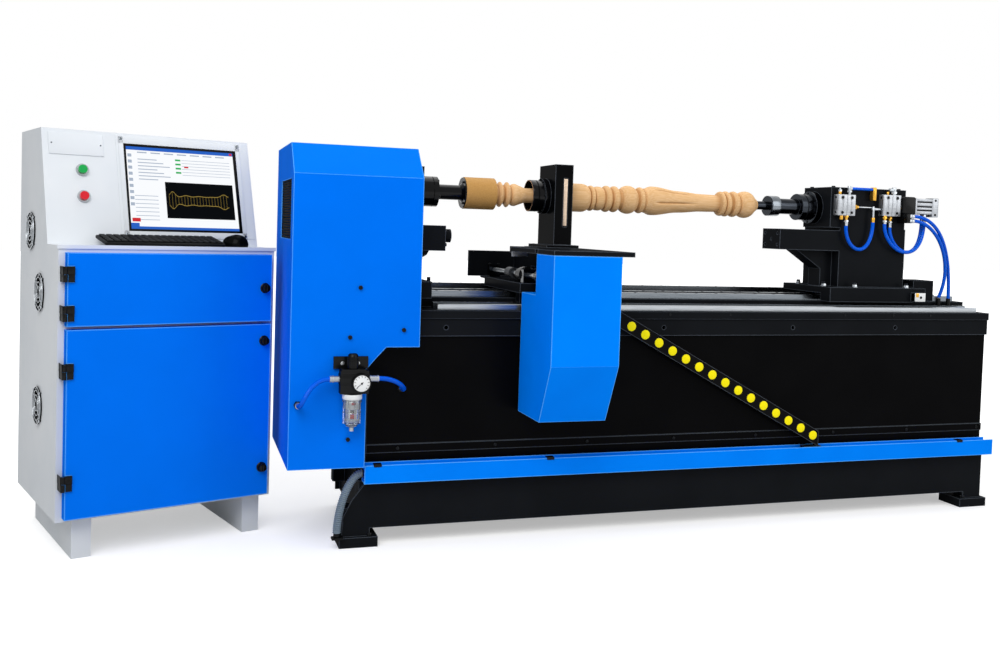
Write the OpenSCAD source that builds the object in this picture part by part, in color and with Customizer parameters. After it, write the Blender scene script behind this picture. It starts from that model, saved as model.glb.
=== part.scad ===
// Automatic wood lathe with its control cabinet, in millimetres, +Z up, floor at z 0.
// The origin is the centre of the four anchor holes under the bed; +X runs along the bed to the tailstock.

/* [Bed] */
// length of the bed from the left pad to the right pad
bed_len = 2460; // [1800:10:3200]
// depth of the bed beam from front face to back face
bed_depth = 470; // [380:5:620]
// height of the top of the bed beam's front step
bed_top = 734; // [600:1:900]
// height of the underside of the bed beam
beam_low = 652; // [560:1:700]
// thickness of the foot pads
pad_t = 32; // [15:1:50]
// height where the base ends and the tray starts
base_top = 203; // [150:1:280]
// thickness of the bed's sheet panels
panel_t = 8; // [4:0.5:15]
// diameter of the anchor holes in the pads
anchor_d = 14; // [10:1:30]
// width of a linear rail
rail_w = 23; // [15:1:35]

/* [Spindle] */
// height of the spindle axis over the floor
axis_z = 1112; // [1000:1:1250]
// distance of the spindle axis behind the bed's front reference
axis_y = 230; // [180:1:280]
// diameter of the spindle shaft
shaft_d = 50; // [30:1:60]
// diameter of the drive disc that holds the stock
disc_d = 106; // [70:1:110]
// diameter of the pulleys
pulley_d = 100; // [60:1:120]
// height of the motor axis
motor_z = 620; // [600:1:700]
// running clearance of shafts, on the radius
run = 0.05; // [0.02:0.01:0.1]

/* [Carriage] */
// left end of the carriage
car_x = 570; // [560:1:640]
// width of the blue carriage cover
car_w = 220; // [180:1:260]
// top of the carriage's top plate
plate_z = 937; // [930:1:945]
// diameter of the ring bush's bore
ring_d = 103; // [96:0.5:106]
// height of the tool post's top
post_top = 1218; // [1190:1:1260]

/* [Tailstock] */
// left end of the tailstock base
tail_x = 1785; // [1760:1:1900]
// height of the tailstock head's top
tail_top = 1188; // [1175:1:1230]
// diameter of the quill
quill_d = 58; // [40:1:70]

/* [Head cover] */
// sheet thickness of the covers
sheet = 3; // [1.5:0.5:5]
// height of the head cover's top
cover_top = 1236.8; // [1200:0.1:1300]

/* [Cabinet] */
// width of the cabinet
cab_w = 646; // [500:1:800]
// depth of the cabinet
cab_d = 524; // [400:1:650]
// height of the cabinet's top
cab_top = 1257; // [1100:1:1400]
// turn of the cabinet seen from above, in degrees
cab_turn = 18.25; // [0:0.25:25]
// sheet thickness of the cabinet
cab_t = 2; // [1:0.5:4]
// depth of the doors
door_d = 31.5; // [20:0.5:40]

/* [Hidden] */
$fn = 64;
e = 0.01;
cx = bed_len / 2;
cy = 255;
yb = 19.5 + bed_depth;
xr = bed_len - 15;
s1 = 100;
s2 = 168;
s3 = 445;
s4 = 269;
mid_z = bed_top + 32;
back_z = bed_top + 44;
work_k = 0.925;
rs = shaft_d / 2;
rp = pulley_d / 2;
rb = ring_d / 2;
rq = quill_d / 2;
cxr = car_x + car_w;
slope_a = atan2(347, 108);
slope_l = sqrt(347 * 347 + 108 * 108);
cab_x = -806;
cab_y = 36;
door_x = 18;
door_w = 608;
hose_r = 7;
tube_r = 6.5;

module at() { translate([-cx, -cy, 0]) children(); }
module cab() { at() translate([cab_x, cab_y, 0]) rotate([0, 0, cab_turn]) children(); }
module slope() { translate([0, 138, 910]) rotate([slope_a, 0, 0]) children(); }
module box(x0, x1, y0, y1, z0, z1) { translate([x0, y0, z0]) cube([x1 - x0, y1 - y0, z1 - z0]); }
module cx1(x0, x1, y, z, r) { translate([x0, y, z]) rotate([0, 90, 0]) cylinder(h = x1 - x0, r = r); }
module cy1(y0, y1, x, z, r) { translate([x, y1, z]) rotate([90, 0, 0]) cylinder(h = y1 - y0, r = r); }
module cz1(z0, z1, x, y, r) { translate([x, y, z0]) cylinder(h = z1 - z0, r = r); }
module con(x0, x1, ra, rb1) {
  translate([x0, axis_y, axis_z]) rotate([0, 90, 0]) cylinder(h = x1 - x0, r1 = ra, r2 = rb1);
}
module extx(x0, x1, p) {
  translate([x0, 0, 0]) rotate([90, 0, 90]) linear_extrude(height = x1 - x0) polygon(p);
}
module exty(y0, y1, p) {
  translate([0, y1, 0]) rotate([90, 0, 0]) linear_extrude(height = y1 - y0) polygon(p);
}
module pipex(x0, x1, y, z, ro, ri) {
  difference() {
    cx1(x0, x1, y, z, ro);
    cx1(x0 - 1, x1 + 1, y, z, ri);
  }
}

// hoses: a round tube swept along a curve given by four points
function bz(p, t) = let (u = 1 - t) u*u*u * p[0] + 3*u*u*t * p[1] + 3*u*t*t * p[2] + t*t*t * p[3];
function bd(p, t) = let (u = 1 - t) u*u * (p[1] - p[0]) + 2*u*t * (p[2] - p[1]) + t*t * (p[3] - p[2]);
function unit(v) = v / norm(v);
module cord(p, r, n) {
  sides = 10;
  pts = [for (i = [0 : n]) let (c = bz(p, i / n), d = unit(bd(p, i / n)),
      q = abs(d[1]) > 0.9 ? [1, 0, 0] : [0, 1, 0], a = unit(cross(q, d)), b = cross(d, a))
      for (k = [0 : sides - 1]) c + r * (cos(k * 36) * a + sin(k * 36) * b)];
  polyhedron(points = pts, faces = concat(
      [[for (k = [0 : sides - 1]) k]],
      [[for (k = [0 : sides - 1]) n * sides + sides - 1 - k]],
      [for (i = [0 : n - 1], k = [0 : sides - 1]) let (k2 = (k + 1) % sides)
          [i * sides + k, (i + 1) * sides + k, (i + 1) * sides + k2, i * sides + k2]]));
}
air_in = [[-52, -75, 536], [-120, -75, 536], [-140, -150, 455], [-140, -60, 455]];
air_out = [[95, -75, 536], [165, -75, 536], [186, -70, 489], [186, 20, 489]];
conduit_p = [[66, 2, 232], [28, 2, 232], [-8, 2, 130], [-8, 2, 50]];
tube_a = [[1855, 104, 1046], [1855, 104, 945], [1972, 104, 915], [1972, 104, 1062]];
tube_b = [[2022, 101, 1058], [2022, 101, 955], [2200, 101, 885], [2200, 101, 1068]];
tube_c = [[2056, 114.5, 1046], [2056, 114.5, 960], [2200, 114.5, 885], [2200, 114.5, 1068]];
tube_d = [[2133, 78, 1090], [2262, 78, 1090], [2362, 137, 960], [2362, 137, 780]];
tube_e = [[2133, 78, 1073], [2250, 78, 1073], [2362, 112, 915], [2316, 137, 784]];
tube_f = [[1872, 104, 1184], [1903, 104, 1184], [1933, 104, 1184], [1964, 104, 1184]];

// bed and base
module foot_pads() {
  color("#17191b") at() for (mx = [0, 1]) translate([mx * bed_len, 0, 0]) mirror([mx, 0, 0]) {
    difference() {
      box(0, 120, 0, 110, 0, pad_t);
      cz1(-1, pad_t + 1, 104, 92, anchor_d / 2);
    }
    difference() {
      box(90, 210, 400, 510, 0, pad_t);
      cz1(-1, pad_t + 1, 104, 418, anchor_d / 2);
    }
  }
}
arc_pts = [[8, pad_t], [12, 94], [38, 145], [75, 193], [75, base_top]];
module base_frame() {
  front = concat([[96, 56], [96, pad_t]], arc_pts,
      [[xr - 2, base_top], [xr - 2, pad_t], [bed_len - 96, pad_t], [bed_len - 96, 56]]);
  color("#141517") at() {
    exty(13, 13 + panel_t, front);
    box(60, bed_len - 60, 2 * cy - 13 - panel_t, 2 * cy - 13, 56, base_top);
    box(75, 83, 13 + panel_t, 2 * cy - 13 - panel_t, 56, base_top);
    box(xr - 10, xr - 2, 13 + panel_t, 2 * cy - 13 - panel_t, 56, base_top);
    for (x = [12, bed_len - 78]) box(x, x + 66, 21, 81, pad_t, 120);
    for (x = [116, bed_len - 182]) box(x, x + 66, 430, 489, pad_t, 120);
    box(60, 83, 21, 81, 56, base_top);
    box(34, 75, 380, 420, 112, 200);
  }
}
module bed_body() {
  color("#101113") at() difference() {
    union() {
      box(79, xr - 2, 28.5, 28.5 + panel_t, base_top, beam_low);
      box(79, xr - 2, yb - 16.5, yb - 8.5, base_top, beam_low);
      for (x = [79, 820, 1640, xr - 10]) box(x, x + 8, 30, yb - 10, base_top, beam_low);
      box(80, xr - 1, 24.5, 28.5 + e, 287, 313);
    }
    cy1(20, 40, 186, 489, 9);
  }
}
module bed_beam() {
  color("#141517") at() difference() {
    extx(68, xr, [[19.5, beam_low], [yb, beam_low], [yb, back_z], [432, back_z], [432, mid_z],
      [150, mid_z], [150, bed_top], [19.5, bed_top]]);
    translate([-1, 0, 0]) extx(76, xr - 6, [[27.5, beam_low + 8], [yb - 8, beam_low + 8],
      [yb - 8, back_z - 8], [440, back_z - 8], [440, mid_z - 8], [158, mid_z - 8],
      [158, bed_top - 8], [27.5, bed_top - 8]]);
    for (x = [324, 1085, 1591, 2026]) cy1(10, 30, x, 679, 7);
  }
}
module bed_strip() {
  color("#2a2d30") at() difference() {
    box(231, xr, 13.5, 19.5, bed_top - 18, bed_top);
    box(230, xr + 1, 12, 14.5, bed_top - 4, bed_top - 2);
  }
}
module screws() {
  color("#0c0d0e") at() {
    for (x = [1104, 1335, 1802, 2010, 2174]) cy1(11.5, 13.5, x, bed_top - 10, 4);
    for (p = [[39, 806], [11, 656], [175, 678], [12, 347]]) cy1(-42, -38, p[0], p[1], 6);
  }
}
module tray() {
  color("#1f6fe0") at() difference() {
    box(69, bed_len - 4, -24.5, 24.5, base_top, base_top + 57);
    box(68, bed_len - 3, -21.5, 21.5, base_top + 3, base_top + 60);
    box(68, 69 + 9, 20, 26, base_top - 1, base_top + 60);
    for (x = [860, 1660]) box(x, x + 0.5, -26, 26, base_top - 1, base_top + 60);
  }
}
module clips() {
  color("#0c0d0e") at() {
    for (x = [109, 674, 2303]) difference() {
      box(x - 12, x + 12, -26.5, -6, base_top + 52, base_top + 61);
      box(x - 13, x + 13, -24.5, -21.5, base_top + 40, base_top + 57);
      box(x - 13, x + 13, -21.6, -5, base_top + 40, base_top + 58);
    }
    box(-24, 11, -14, 12.5, pad_t, pad_t + 6);
    cz1(pad_t + 6 - e, 50, -8, 2, 10);
    box(66, 69, -12, 14, 220, 245);
    for (x = [2316, 2362]) cz1(bed_top, 780, x, 137, 8);
  }
}
module carriage_rails() {
  color("#a8adb2") at() {
    box(300, xr - 35, s1, s1 + rail_w, bed_top, bed_top + 20);
    box(300, xr - 35, s3, s3 + rail_w, back_z, back_z + 18);
  }
}
module tail_rails() {
  color("#a8adb2") at() for (y = [s2, s4]) box(300, xr - 35, y, y + rail_w, mid_z, mid_z + 20);
}
module x_rack() { color("#74787c") at() box(300, xr - 35, 40, 60, bed_top, bed_top + 18); }

// headstock
module head_base() {
  color("#17191b") at() {
    box(84, 290, 83, 383, mid_z, 820);
    cz1(820, 834, 281, 95, 6);
  }
}
module head_housing() {
  color("#17191b") at() {
    difference() {
      box(84, 264, 123, 342, 820, tail_top);
      cx1(80, 280, axis_y, axis_z, 42);
    }
    box(120, 150, -38 + sheet, 123 + e, 1020, 1050);
    box(120, 150, 342 - e, 455 - sheet, 1020, 1050);
  }
}
module spindle_bearings() {
  color("#8d9297") at() for (x = [88, 229]) pipex(x, x + 30, axis_y, axis_z, 42, rs + run);
}
module head_arm() {
  color("#17191b") at() {
    box(264, 341, 123, 236, 918, 1000);
    exty(160, 200, [[264, 893], [264, 918 + e], [296, 918 + e], [288, 903], [276, 896]]);
    cx1(341 - e, 370, 180, 967, 22);
  }
}
module spindle_motor() {
  color("#3a3f45") at() {
    box(55 - e, 68, 130, 330, 530, bed_top);
    cx1(-95, 55, axis_y, motor_z, 80);
    box(-60, 20, axis_y - 40, axis_y + 40, motor_z + 70, motor_z + 105);
  }
}
module loop_x(x0, x1, r) {
  cx1(x0, x1, axis_y, axis_z, r);
  cx1(x0, x1, axis_y, motor_z, r);
  box(x0, x1, axis_y - r, axis_y + r, motor_z, axis_z);
}
module drive_belt() {
  color("#1b1b1c") at() difference() {
    loop_x(-136, -116, rp + 4);
    loop_x(-137, -115, rp + run);
  }
}
module cover_form(d) {
  intersection() {
    extx(-165.5 + d, 226.4 - d, [[-38 + d, 258.7 + d], [-38 + d, 1141.7 - d * 0.4],
      [52.5 + d * 0.4, cover_top - d], [455 - d, cover_top - d], [455 - d, 258.7 + d]]);
    exty(-60, 480, [[-165.5 + d, 258.7 + d], [65 - d, 258.7 + d], [65 - d, 560 + d * 0.4],
      [93 - d * 0.4, 593 + d * 0.7], [123, 625 + d], [226.4 - d, 625 + d],
      [226.4 - d, cover_top - d], [-165.5 + d, cover_top - d]]);
  }
}
module head_cover() {
  color("#1f6fe0") at() difference() {
    cover_form(0);
    cover_form(sheet);
    box(66, 230, 8, 460, 500, 835);
    box(220, 230, 118, 347, 830, tail_top + 5);
    box(60, 70, 110, 350, 520, 740);
    box(-170, -160, 20, 318, 945, 1127);
  }
}
// air service unit on the head cover
module air_body() {
  color("#17191b") at() {
    difference() {
      union() {
        box(-37, 67, -46, -38, 562, 599);
        box(-20, 52, -98, -38, 562, 567);
      }
      cz1(560, 600, 16, -75, 18);
    }
    box(-22, 62, -93, -57, 493, 562 + e);
    cz1(479, 493 + e, 16, -75, 28);
  }
}
module air_gauge() {
  color("#c9cdd1") at() {
    cy1(-106, -97, 39, 526, 30);
    cy1(-97, -93, 39, 526, 8);
  }
}
module air_bowl() {
  color("#dfe9f0") at() difference() {
    cz1(391, 479, 16, -75, 27);
    cz1(396, 480, 16, -75, 23);
  }
}
module air_fittings() {
  color("#9aa0a6") at() {
    cx1(-52, -22, -75, 536, 9);
    cx1(62, 95, -75, 536, 9);
    cz1(380, 391, 16, -75, 7);
    cy1(-60, -38, -140, 455, 9);
    cy1(20, 28.5, 186, 489, 10);
  }
}
module air_knob() {
  color("#0c0d0e") at() {
    cz1(568, 612, 16, -75, 17);
    cz1(562.3, 568, 16, -75, 13);
  }
}
module air_hoses() {
  color("#1a5fd0") at() {
    cord(air_in, hose_r, 11);
    cord(air_out, hose_r, 10);
  }
}
module conduit() { color("#6d7276") at() cord(conduit_p, 12, 10); }

// control cabinet
cab_p = [[0, 118], [cab_d, 118], [cab_d, cab_top], [246, cab_top], [138, 910], [0, 910]];
cab_q = [[cab_t, 120.3], [cab_d - cab_t, 120.3], [cab_d - cab_t, cab_top - 2], [247.5, cab_top - 2],
  [139.5, 908], [cab_t, 908]];
fans = [[356, 944], [226, 762], [235, 419]];
module cabinet_body() {
  color("#d6dadb") cab() for (x = [50, 565]) box(x, x + 55, 20, 500, 0, 118 + e);
  color("#d6dadb") cab() difference() {
    union() {
      difference() {
        extx(0, cab_w, cab_p);
        extx(cab_t, cab_w - cab_t, cab_q);
      }
      box(1, cab_w - 1, 1, cab_d - 1, 675, 678);
      box(-4, cab_w + 4, -4, 1, 901, 912);
    }
    box(30, 612, -5, 3, 693, 880);
    box(30, 612, -5, 3, 163, 660);
    for (f = fans) cx1(-1, 3, f[0], f[1], 54);
    slope() box(235, 600, 45, 335, -5, 3);
  }
}
module cabinet_panel() {
  color("#d6dadb") cab() slope() {
    box(214, 640, 25, 356, 0, 1.5);
    box(238, 596, 48, 330, -4.5, 0);
    box(18, 176, 281, 352, 0, 1);
  }
}
module cabinet_electrics() {
  color("#8d9297") cab() {
    box(60, 586, 514, 522, 180, 660);
    for (i = [0 : 3]) box(90 + i * 115, 180 + i * 115, 380, 514, 420, 600);
    box(90, 300, 420, 514, 230, 330);
    box(360, 540, 440, 514, 230, 330);
    box(120, 520, 120, 500, 678, 780);
  }
}
module fan_frames() {
  color("#1b1c1e") cab() for (f = fans) {
    difference() {
      box(cab_t, 27, f[0] - 60, f[0] + 60, f[1] - 60, f[1] + 60);
      cx1(0, 30, f[0], f[1], 56);
    }
    cx1(22, 27, f[0], f[1], 20);
    box(24, 27, f[0] - 57, f[0] + 57, f[1] - 3, f[1] + 3);
    box(24, 27, f[0] - 3, f[0] + 3, f[1] - 57, f[1] + 57);
    for (r = [18, 32, 46, 58]) pipex(-5, -2, f[0], f[1], r, r - 2.5);
    for (a = [0, 90]) translate([0, f[0], f[1]]) rotate([a + 45, 0, 0]) {
      box(-3.5, -1, -60, 60, -1.5, 1.5);
      for (s = [-1, 1]) box(-3, 0, s * 58.5 - 2.5, s * 58.5 + 2.5, -2.5, 2.5);
    }
  }
}
module fan_rotor(f) {
  color("#26282a") cab() {
    cx1(5, 21.7, f[0], f[1], 19);
    for (i = [0 : 4]) translate([13, f[0], f[1]]) rotate([i * 72, 0, 0]) rotate([0, 0, 25])
      box(-1, 1, -11, 11, 15, 53);
  }
}
module fan_top() { fan_rotor(fans[0]); }
module fan_mid() { fan_rotor(fans[1]); }
module fan_low() { fan_rotor(fans[2]); }
module keyboard_mouse() {
  color("#17191b") cab() {
    translate([0, 8, 910]) rotate([9, 0, 0]) box(132, 488, 0, 122, 0, 13);
    box(150, 470, 112, 122, 910, 924);
    difference() {
      translate([540, 60, 910]) scale([1.05, 1.25, 0.98]) sphere(r = 38);
      box(490, 600, 0, 140, 870, 910);
    }
  }
}
module button_bezels() {
  color("#b9bdc0") cab() slope() for (s = [234, 150]) difference() {
    translate([110, s, 0]) cylinder(h = 5, r = 19);
    translate([110, s, -1]) cylinder(h = 7, r = 13.3);
  }
}
module press(s) {
  translate([110, s, 4.5]) cylinder(h = 9, r = 13);
}
module green_button() { color("#1aa04a") cab() slope() press(234); }
module red_button() { color("#d0202a") cab() slope() press(150); }
hinge_z = [830, 719, 555, 236];
module body_hinges() {
  color("#0c0d0e") cab() for (z = hinge_z) {
    cz1(z - 22, z - 0.2, 12, -37, 5);
    box(5, 6.7, -37, 0, z - 22, z + 22);
    box(5, 12, -40, -34, z - 22, z - 0.2);
  }
}
module leaf(z) {
  cz1(z + 0.2, z + 22, 12, -37, 5);
  box(12, 36, -39, -32, z + 0.2, z + 22);
  box(18, 36, -37, -32, z - 22, z + 0.3);
}
module pan(z0, z1) {
  difference() {
    box(door_x, door_x + door_w, -32, -0.5, z0, z1);
    box(door_x + 2, door_x + door_w - 2, -30, 1, z0 + 2, z1 - 2);
    children();
  }
}
module upper_door() {
  color("#1f6fe0") cab() {
    pan(681.4, 890.6) cy1(-40, 5, 604, 786, 6.1);
    leaf(830);
    leaf(719);
  }
}
module lower_door() {
  color("#1f6fe0") cab() {
    pan(130, 672) {
      cy1(-40, 5, 604, 620, 6.1);
      cy1(-40, 5, 604, 218, 6.1);
    }
    leaf(555);
    leaf(236);
  }
}
module latch(z) {
  cy1(-50, -32.1, 604, z, 14);
  cy1(-33, 7, 604, z, 6);
  box(597, 611, 3.5, 6.5, z - 26, z);
}
module upper_latch() { color("#0c0d0e") cab() latch(786); }
module middle_latch() { color("#0c0d0e") cab() latch(620); }
module lower_latch() { color("#0c0d0e") cab() latch(218); }

// spindle and work
module spindle() {
  color("#33363a") at() {
    cx1(-150, 421, axis_y, axis_z, rs);
    cx1(-140, -112, axis_y, axis_z, rp);
    cx1(266, 312, axis_y, axis_z, 50);
    cx1(315, 331, axis_y, axis_z, 50);
    cx1(312, 315, axis_y, axis_z, 46);
    cx1(420, 424, axis_y, axis_z, disc_d / 2 - 2);
  }
}
function bpts(x, r, w) = [for (a = [-75 : 30 : 75]) [r - w + w * cos(a), x + w * sin(a)]];
outline = concat([[0, 424], [53.3, 424], [53.3, 530], [33, 532], [33, 541], [41, 547], [46, 550.5],
  [46.5, 552], [46, 553.5], [41, 557], [33, 562.5], [32, 564.5], [33, 566.5], [41, 572],
  [46, 575.5], [46.5, 577], [46, 578.5], [41, 582], [33, 587.5], [33, 589], [38, 593], [41, 600],
  [41, 606], [27, 640], [27, 700], [42, 720], [48, 760], [53, 800], [53, 852], [49, 866], [39, 877]],
  bpts(886, 48, 7), [[38, 895], [41, 899], [45.5, 906], [45.5, 920], [41, 928], [38, 932]],
  bpts(945, 50, 11), [[38, 960]], bpts(975, 49.7, 11), [[38, 990], [42, 997], [50, 1008],
  [53.8, 1022], [53.8, 1034], [50, 1048], [42, 1059], [38, 1061]], bpts(1074, 50, 8),
  [[42, 1086], [45, 1089], [52, 1100], [55.3, 1114], [55.3, 1126], [48.3, 1176],
  [42.8, 1222], [37, 1268], [34.4, 1315], [34, 1360], [33, 1384]], bpts(1399, 48, 8),
  [[40, 1409]], bpts(1420, 49.8, 9), [[40, 1435.5]], bpts(1452, 50.6, 11), [[40, 1468],
  [46, 1474], [51, 1486], [52.7, 1500], [50, 1513], [44, 1524], [36, 1533], [27, 1543],
  [20, 1548], [15.3, 1548], [0, 1527.5]]);
turned = [for (p = outline) [p[1] > 530 && p[1] < 1548 ? p[0] * work_k : p[0], p[1]]];
module workpiece() {
  color("#d9b184") at() translate([0, axis_y, axis_z]) rotate([0, 90, 0]) rotate_extrude()
    polygon(turned);
}
module motor_pulley() {
  color("#8d9297") at() {
    cx1(-140, -112, axis_y, motor_z, rp);
    cx1(-112, -95.3, axis_y, motor_z, 12);
  }
}

// carriage
module guide(x, y, top, bottom, height) {
  difference() {
    box(x, x + 70, y - 8, y + rail_w + 8, bottom, top);
    box(x - 1, x + 71, y - 0.3, y + rail_w + 0.3, bottom - 1, height);
  }
}
module saddle() {
  color("#4a4d50") at() {
    difference() {
      extx(car_x, 832, [[32, 790], [430, 790], [430, 815], [484, 815], [484, 822], [32, 822]]);
      box(735, 767, 120, 250, 800, 830);
    }
    box(640, 787, -110, 33, 790, 822);
    difference() {
      box(574, 786, 0, 8, 420, 790 + e);
      cy1(-5, 10, 700, 769.3, 8.5);
    }
    for (x = [590, 742]) {
      guide(x, s1, 790 + e, 744, bed_top + 20.3);
      guide(x, s3, 815 + e, 784, back_z + 18.3);
    }
    difference() {
      for (x = [680, 815]) box(x, x + 15, 32, 428, 821, plate_z - 15);
      box(675, 700, 130, 245, 826, 870);
    }
    difference() {
      union() {
        box(car_x, 832, -268, 150, plate_z - 15, plate_z);
        box(680, 832, 149, 320, plate_z - 15, plate_z);
      }
      box(735, 767, 136, 250, plate_z - 20, plate_z + 5);
      box(car_x - 1, car_x + 10, -128, -100, plate_z - 20, plate_z + 5);
    }
    box(520, 832, 472, 480, 821, 914);
    box(car_x, car_x + 68, 135, 150, 917, plate_z + 2);
  }
}
module carriage_cover() {
  color("#1f6fe0") at() difference() {
    extx(car_x, cxr, [[-270, 922], [-270, 591], [-183, 410], [12, 410], [12, 795], [-118, 795], [-118, 922]]);
    extx(car_x + sheet, cxr - sheet, [[-270 + sheet, 919], [-270 + sheet, 592], [-181, 413],
      [15, 413], [15, 792], [-121, 792], [-121, 919]]);
    box(637, cxr - 2.9, -125, 15, 789, 823);
    box(cxr - 5, cxr + 1, -24, 15, 738, 800);
    cy1(-125, -110, 600, 848, 14);
  }
}
module tool_post() {
  color("#17191b") at() difference() {
    union() {
      box(719, 783, 135, 290, plate_z + 9, post_top);
      box(690, 806, 122, 304, plate_z, plate_z + 10);
      cx1(657, 702, axis_y, axis_z, 54);
      cx1(700, 719 + e, axis_y, axis_z, 60);
    }
    cx1(650, 790, axis_y, axis_z, rb);
    box(727, 775, 143, 282, plate_z + 10, 1070);
    box(735, 767, 136, 250, plate_z - 1, plate_z + 11);
    box(749, 765, 130, 190, 1008, 1172);
  }
}
module carriage_drives() {
  color("#8d9297") at() {
    box(575, 625, -230, -124, 823, 873);
    difference() {
      union() {
        box(574, 637, -118, -108, 826, plate_z - 15);
        box(580, 620, 32, 56, 822, 866);
        box(580, 620, 405, 428, 822, 866);
      }
      cy1(-130, 440, 600, 848, 8 + run);
    }
    difference() {
      box(678, 722, -105, 0, 746, 790);
      cy1(-20, 10, 700, 769.3, 8 + run);
    }
  }
}
module y_screw() {
  color("#a8adb2") at() {
    cy1(-123.7, 430, 600, 848, 8);
    cy1(-80, -40, 600, 848, 15);
  }
}
module x_pinion() {
  color("#74787c") at() {
    cy1(-19, 58, 700, 769.3, 8);
    cy1(42, 58, 700, 769.3, 17);
  }
}
drag_k = -0.537;
module drag_arm() {
  color("#101113") at() {
    difference() {
      exty(-17, 1, [[cxr, 771 - 27], [cxr, 771 + 27], [1690, 771 + 27 + 900 * drag_k],
        [1690, 771 - 27 + 900 * drag_k]]);
      box(1600, 1700, -20, 20, 200, 250);
    }
    box(cxr - 24, cxr + e, -17, 0, 746, 789);
    box(1636, 1702, -17, 12, base_top + 3.3, 262);
  }
  color("#f2d21b") at() for (i = [0 : 14]) let (x = 947 + i * 719 / 14)
    cy1(-18.5, -16.9, x, 687 + (x - 947) * drag_k, 15);
}
module tool_slide() {
  color("#b07a3a") at() {
    difference() {
      cy1(190, 240, 600, 848, 18);
      cy1(180, 250, 600, 848, 8 + run);
    }
    box(616, 763, 205, 225, 836, 862);
    box(739, 763, 200, 230, 850, 1056);
    box(750.5, 763, 139, 205, 1036, 1056);
    box(751, 763, 139, 146, 1010, 1168);
    box(754, 760, 145, 180, 1055, 1150);
  }
}

// tailstock
module tail_base() {
  color("#17191b") at() {
    extx(tail_x, 2207, [[83, mid_z + 1], [140, mid_z + 1], [140, 796], [383, 796], [383, 820], [83, 820]]);
    for (x = [tail_x + 20, 2100], y = [s2, s4]) difference() {
      box(x, x + 80, y - 8, y + rail_w + 8, mid_z + 6, 796 + e);
      box(x - 1, x + 81, y - 0.3, y + rail_w + 0.3, mid_z, mid_z + 20.3);
    }
    difference() {
      box(2207 - e, 2300, 150, 250, mid_z + 2, 847);
      box(2200, 2310, s2 - 3, s2 + rail_w + 3, mid_z, mid_z + 22);
    }
    box(2142, 2191, 62, 83 + e, 772, 804);
    for (p = [[tail_x + 18, 150], [tail_x + 18, 310], [1900, 98], [2129, 98]])
      cz1(820 - e, 836, p[0], p[1], 7);
  }
}
module tail_head() {
  color("#17191b") at() {
    box(1844, 2135, 123, 342, 820, 1040);
    difference() {
      union() {
        box(1800, 2130, 123, 290, 1039, tail_top);
        cx1(1722, 1776, axis_y, axis_z, 49);
        cx1(1775, 1801, axis_y, axis_z, 60);
      }
      cx1(1720, 2080, axis_y, axis_z, rq + run);
    }
    difference() {
      box(1590, 1845, 123, 236, 953, 1028);
      for (y = [140, 219], z = [970, 1011]) cx1(1585, 1605, y, z, 5);
      cx1(1585, 1605, 180, 990, 5);
    }
    exty(165, 236, [[1845, 820], [1845, 953 + e], [1690, 953 + e], [1795, 885], [1795, 820]]);
  }
}
module tail_fit() {
  box(1811, 1888, 96, 123, 1084, 1161);
  box(2009, 2089, 96, 123, 1088, 1167);
  cx1(1888 - e, 1972, 108, 1117, 4);
  cz1(1062, 1121, 1972, 104, 7);
  cx1(1972, 2009 + e, 108, 1112, 5);
  cz1(1046, 1084 + e, 1855, 104, 7);
  cz1(1058, 1088 + e, 2022, 101, 7);
  cz1(1046, 1088 + e, 2056, 114.5, 7);
  cz1(1161 - e, 1180, 1826, 109, 5);
  cz1(1161 - e, 1192, 1864, 104, 8);
  box(1964, 1982, 96, 123, 1143, 1192);
  box(2092, 2157, 90, 123, 1097, 1163);
  box(2157 - e, 2228, 92, 128, 1098, 1158);
  box(2226, 2254, 90, 130, 1090, 1162);
  box(2094, 2110, 66, 123, 1064, 1098);
  for (z = [1073, 1090]) cx1(2109, 2133, 78, z, 8);
  for (y = [101, 114.5]) cz1(1068, 1099, 2200, y, 7);
}
module tail_valves() { color("#a8adb2") at() tail_fit(); }
module tail_hoses() {
  color("#1a5fd0") at() {
    cord(tube_a, tube_r, 10);
    cord(tube_b, tube_r, 10);
    cord(tube_c, tube_r, 10);
    cord(tube_f, 5, 6);
  }
}
module tail_feed() {
  color("#1a5fd0") at() {
    cord(tube_d, tube_r, 9);
    cord(tube_e, tube_r, 9);
  }
}
module quill() {
  color("#9aa0a6") at() difference() {
    cx1(1638.3, 1960, axis_y, axis_z, rq);
    cx1(1636, 1701, axis_y, axis_z, 16 + run);
  }
}
module live_centre() {
  color("#c4c8cc") at() {
    con(1531, 1549.5, 2, 16);
    con(1549.5 - e, 1664, 16, 16);
    con(1597, 1638, 37, 37);
  }
}

foot_pads();
base_frame();
bed_body();
bed_beam();
bed_strip();
screws();
tray();
clips();
carriage_rails();
tail_rails();
x_rack();
head_base();
head_housing();
spindle_bearings();
head_arm();
spindle_motor();
drive_belt();
head_cover();
air_body();
air_gauge();
air_bowl();
air_fittings();
air_knob();
air_hoses();
conduit();
cabinet_body();
cabinet_panel();
cabinet_electrics();
fan_frames();
keyboard_mouse();
button_bezels();
body_hinges();
upper_door();
lower_door();
upper_latch();
middle_latch();
lower_latch();
fan_top();
fan_mid();
fan_low();
green_button();
red_button();
spindle();
workpiece();
motor_pulley();
saddle();
carriage_cover();
tool_post();
carriage_drives();
drag_arm();
tool_slide();
y_screw();
x_pinion();
tail_base();
tail_head();
tail_valves();
tail_hoses();
tail_feed();
quill();
live_centre();
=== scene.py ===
"""Dresses the wood turning lathe and its control cabinet for the render.

Sizes are written in millimetres of the lathe's own drawing frame, whose corner is the front left foot,
and Place turns them into metres of the shared frame.
"""

from __future__ import annotations

import logging
from collections.abc import Callable
from dataclasses import dataclass, field
from enum import Enum
from math import atan2, cos, pi, radians, sin

import bpy
import numpy as np
from bpy.types import Material, Node, NodeSocket, NodeTree, Object
from mathutils import Matrix, Vector

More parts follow.
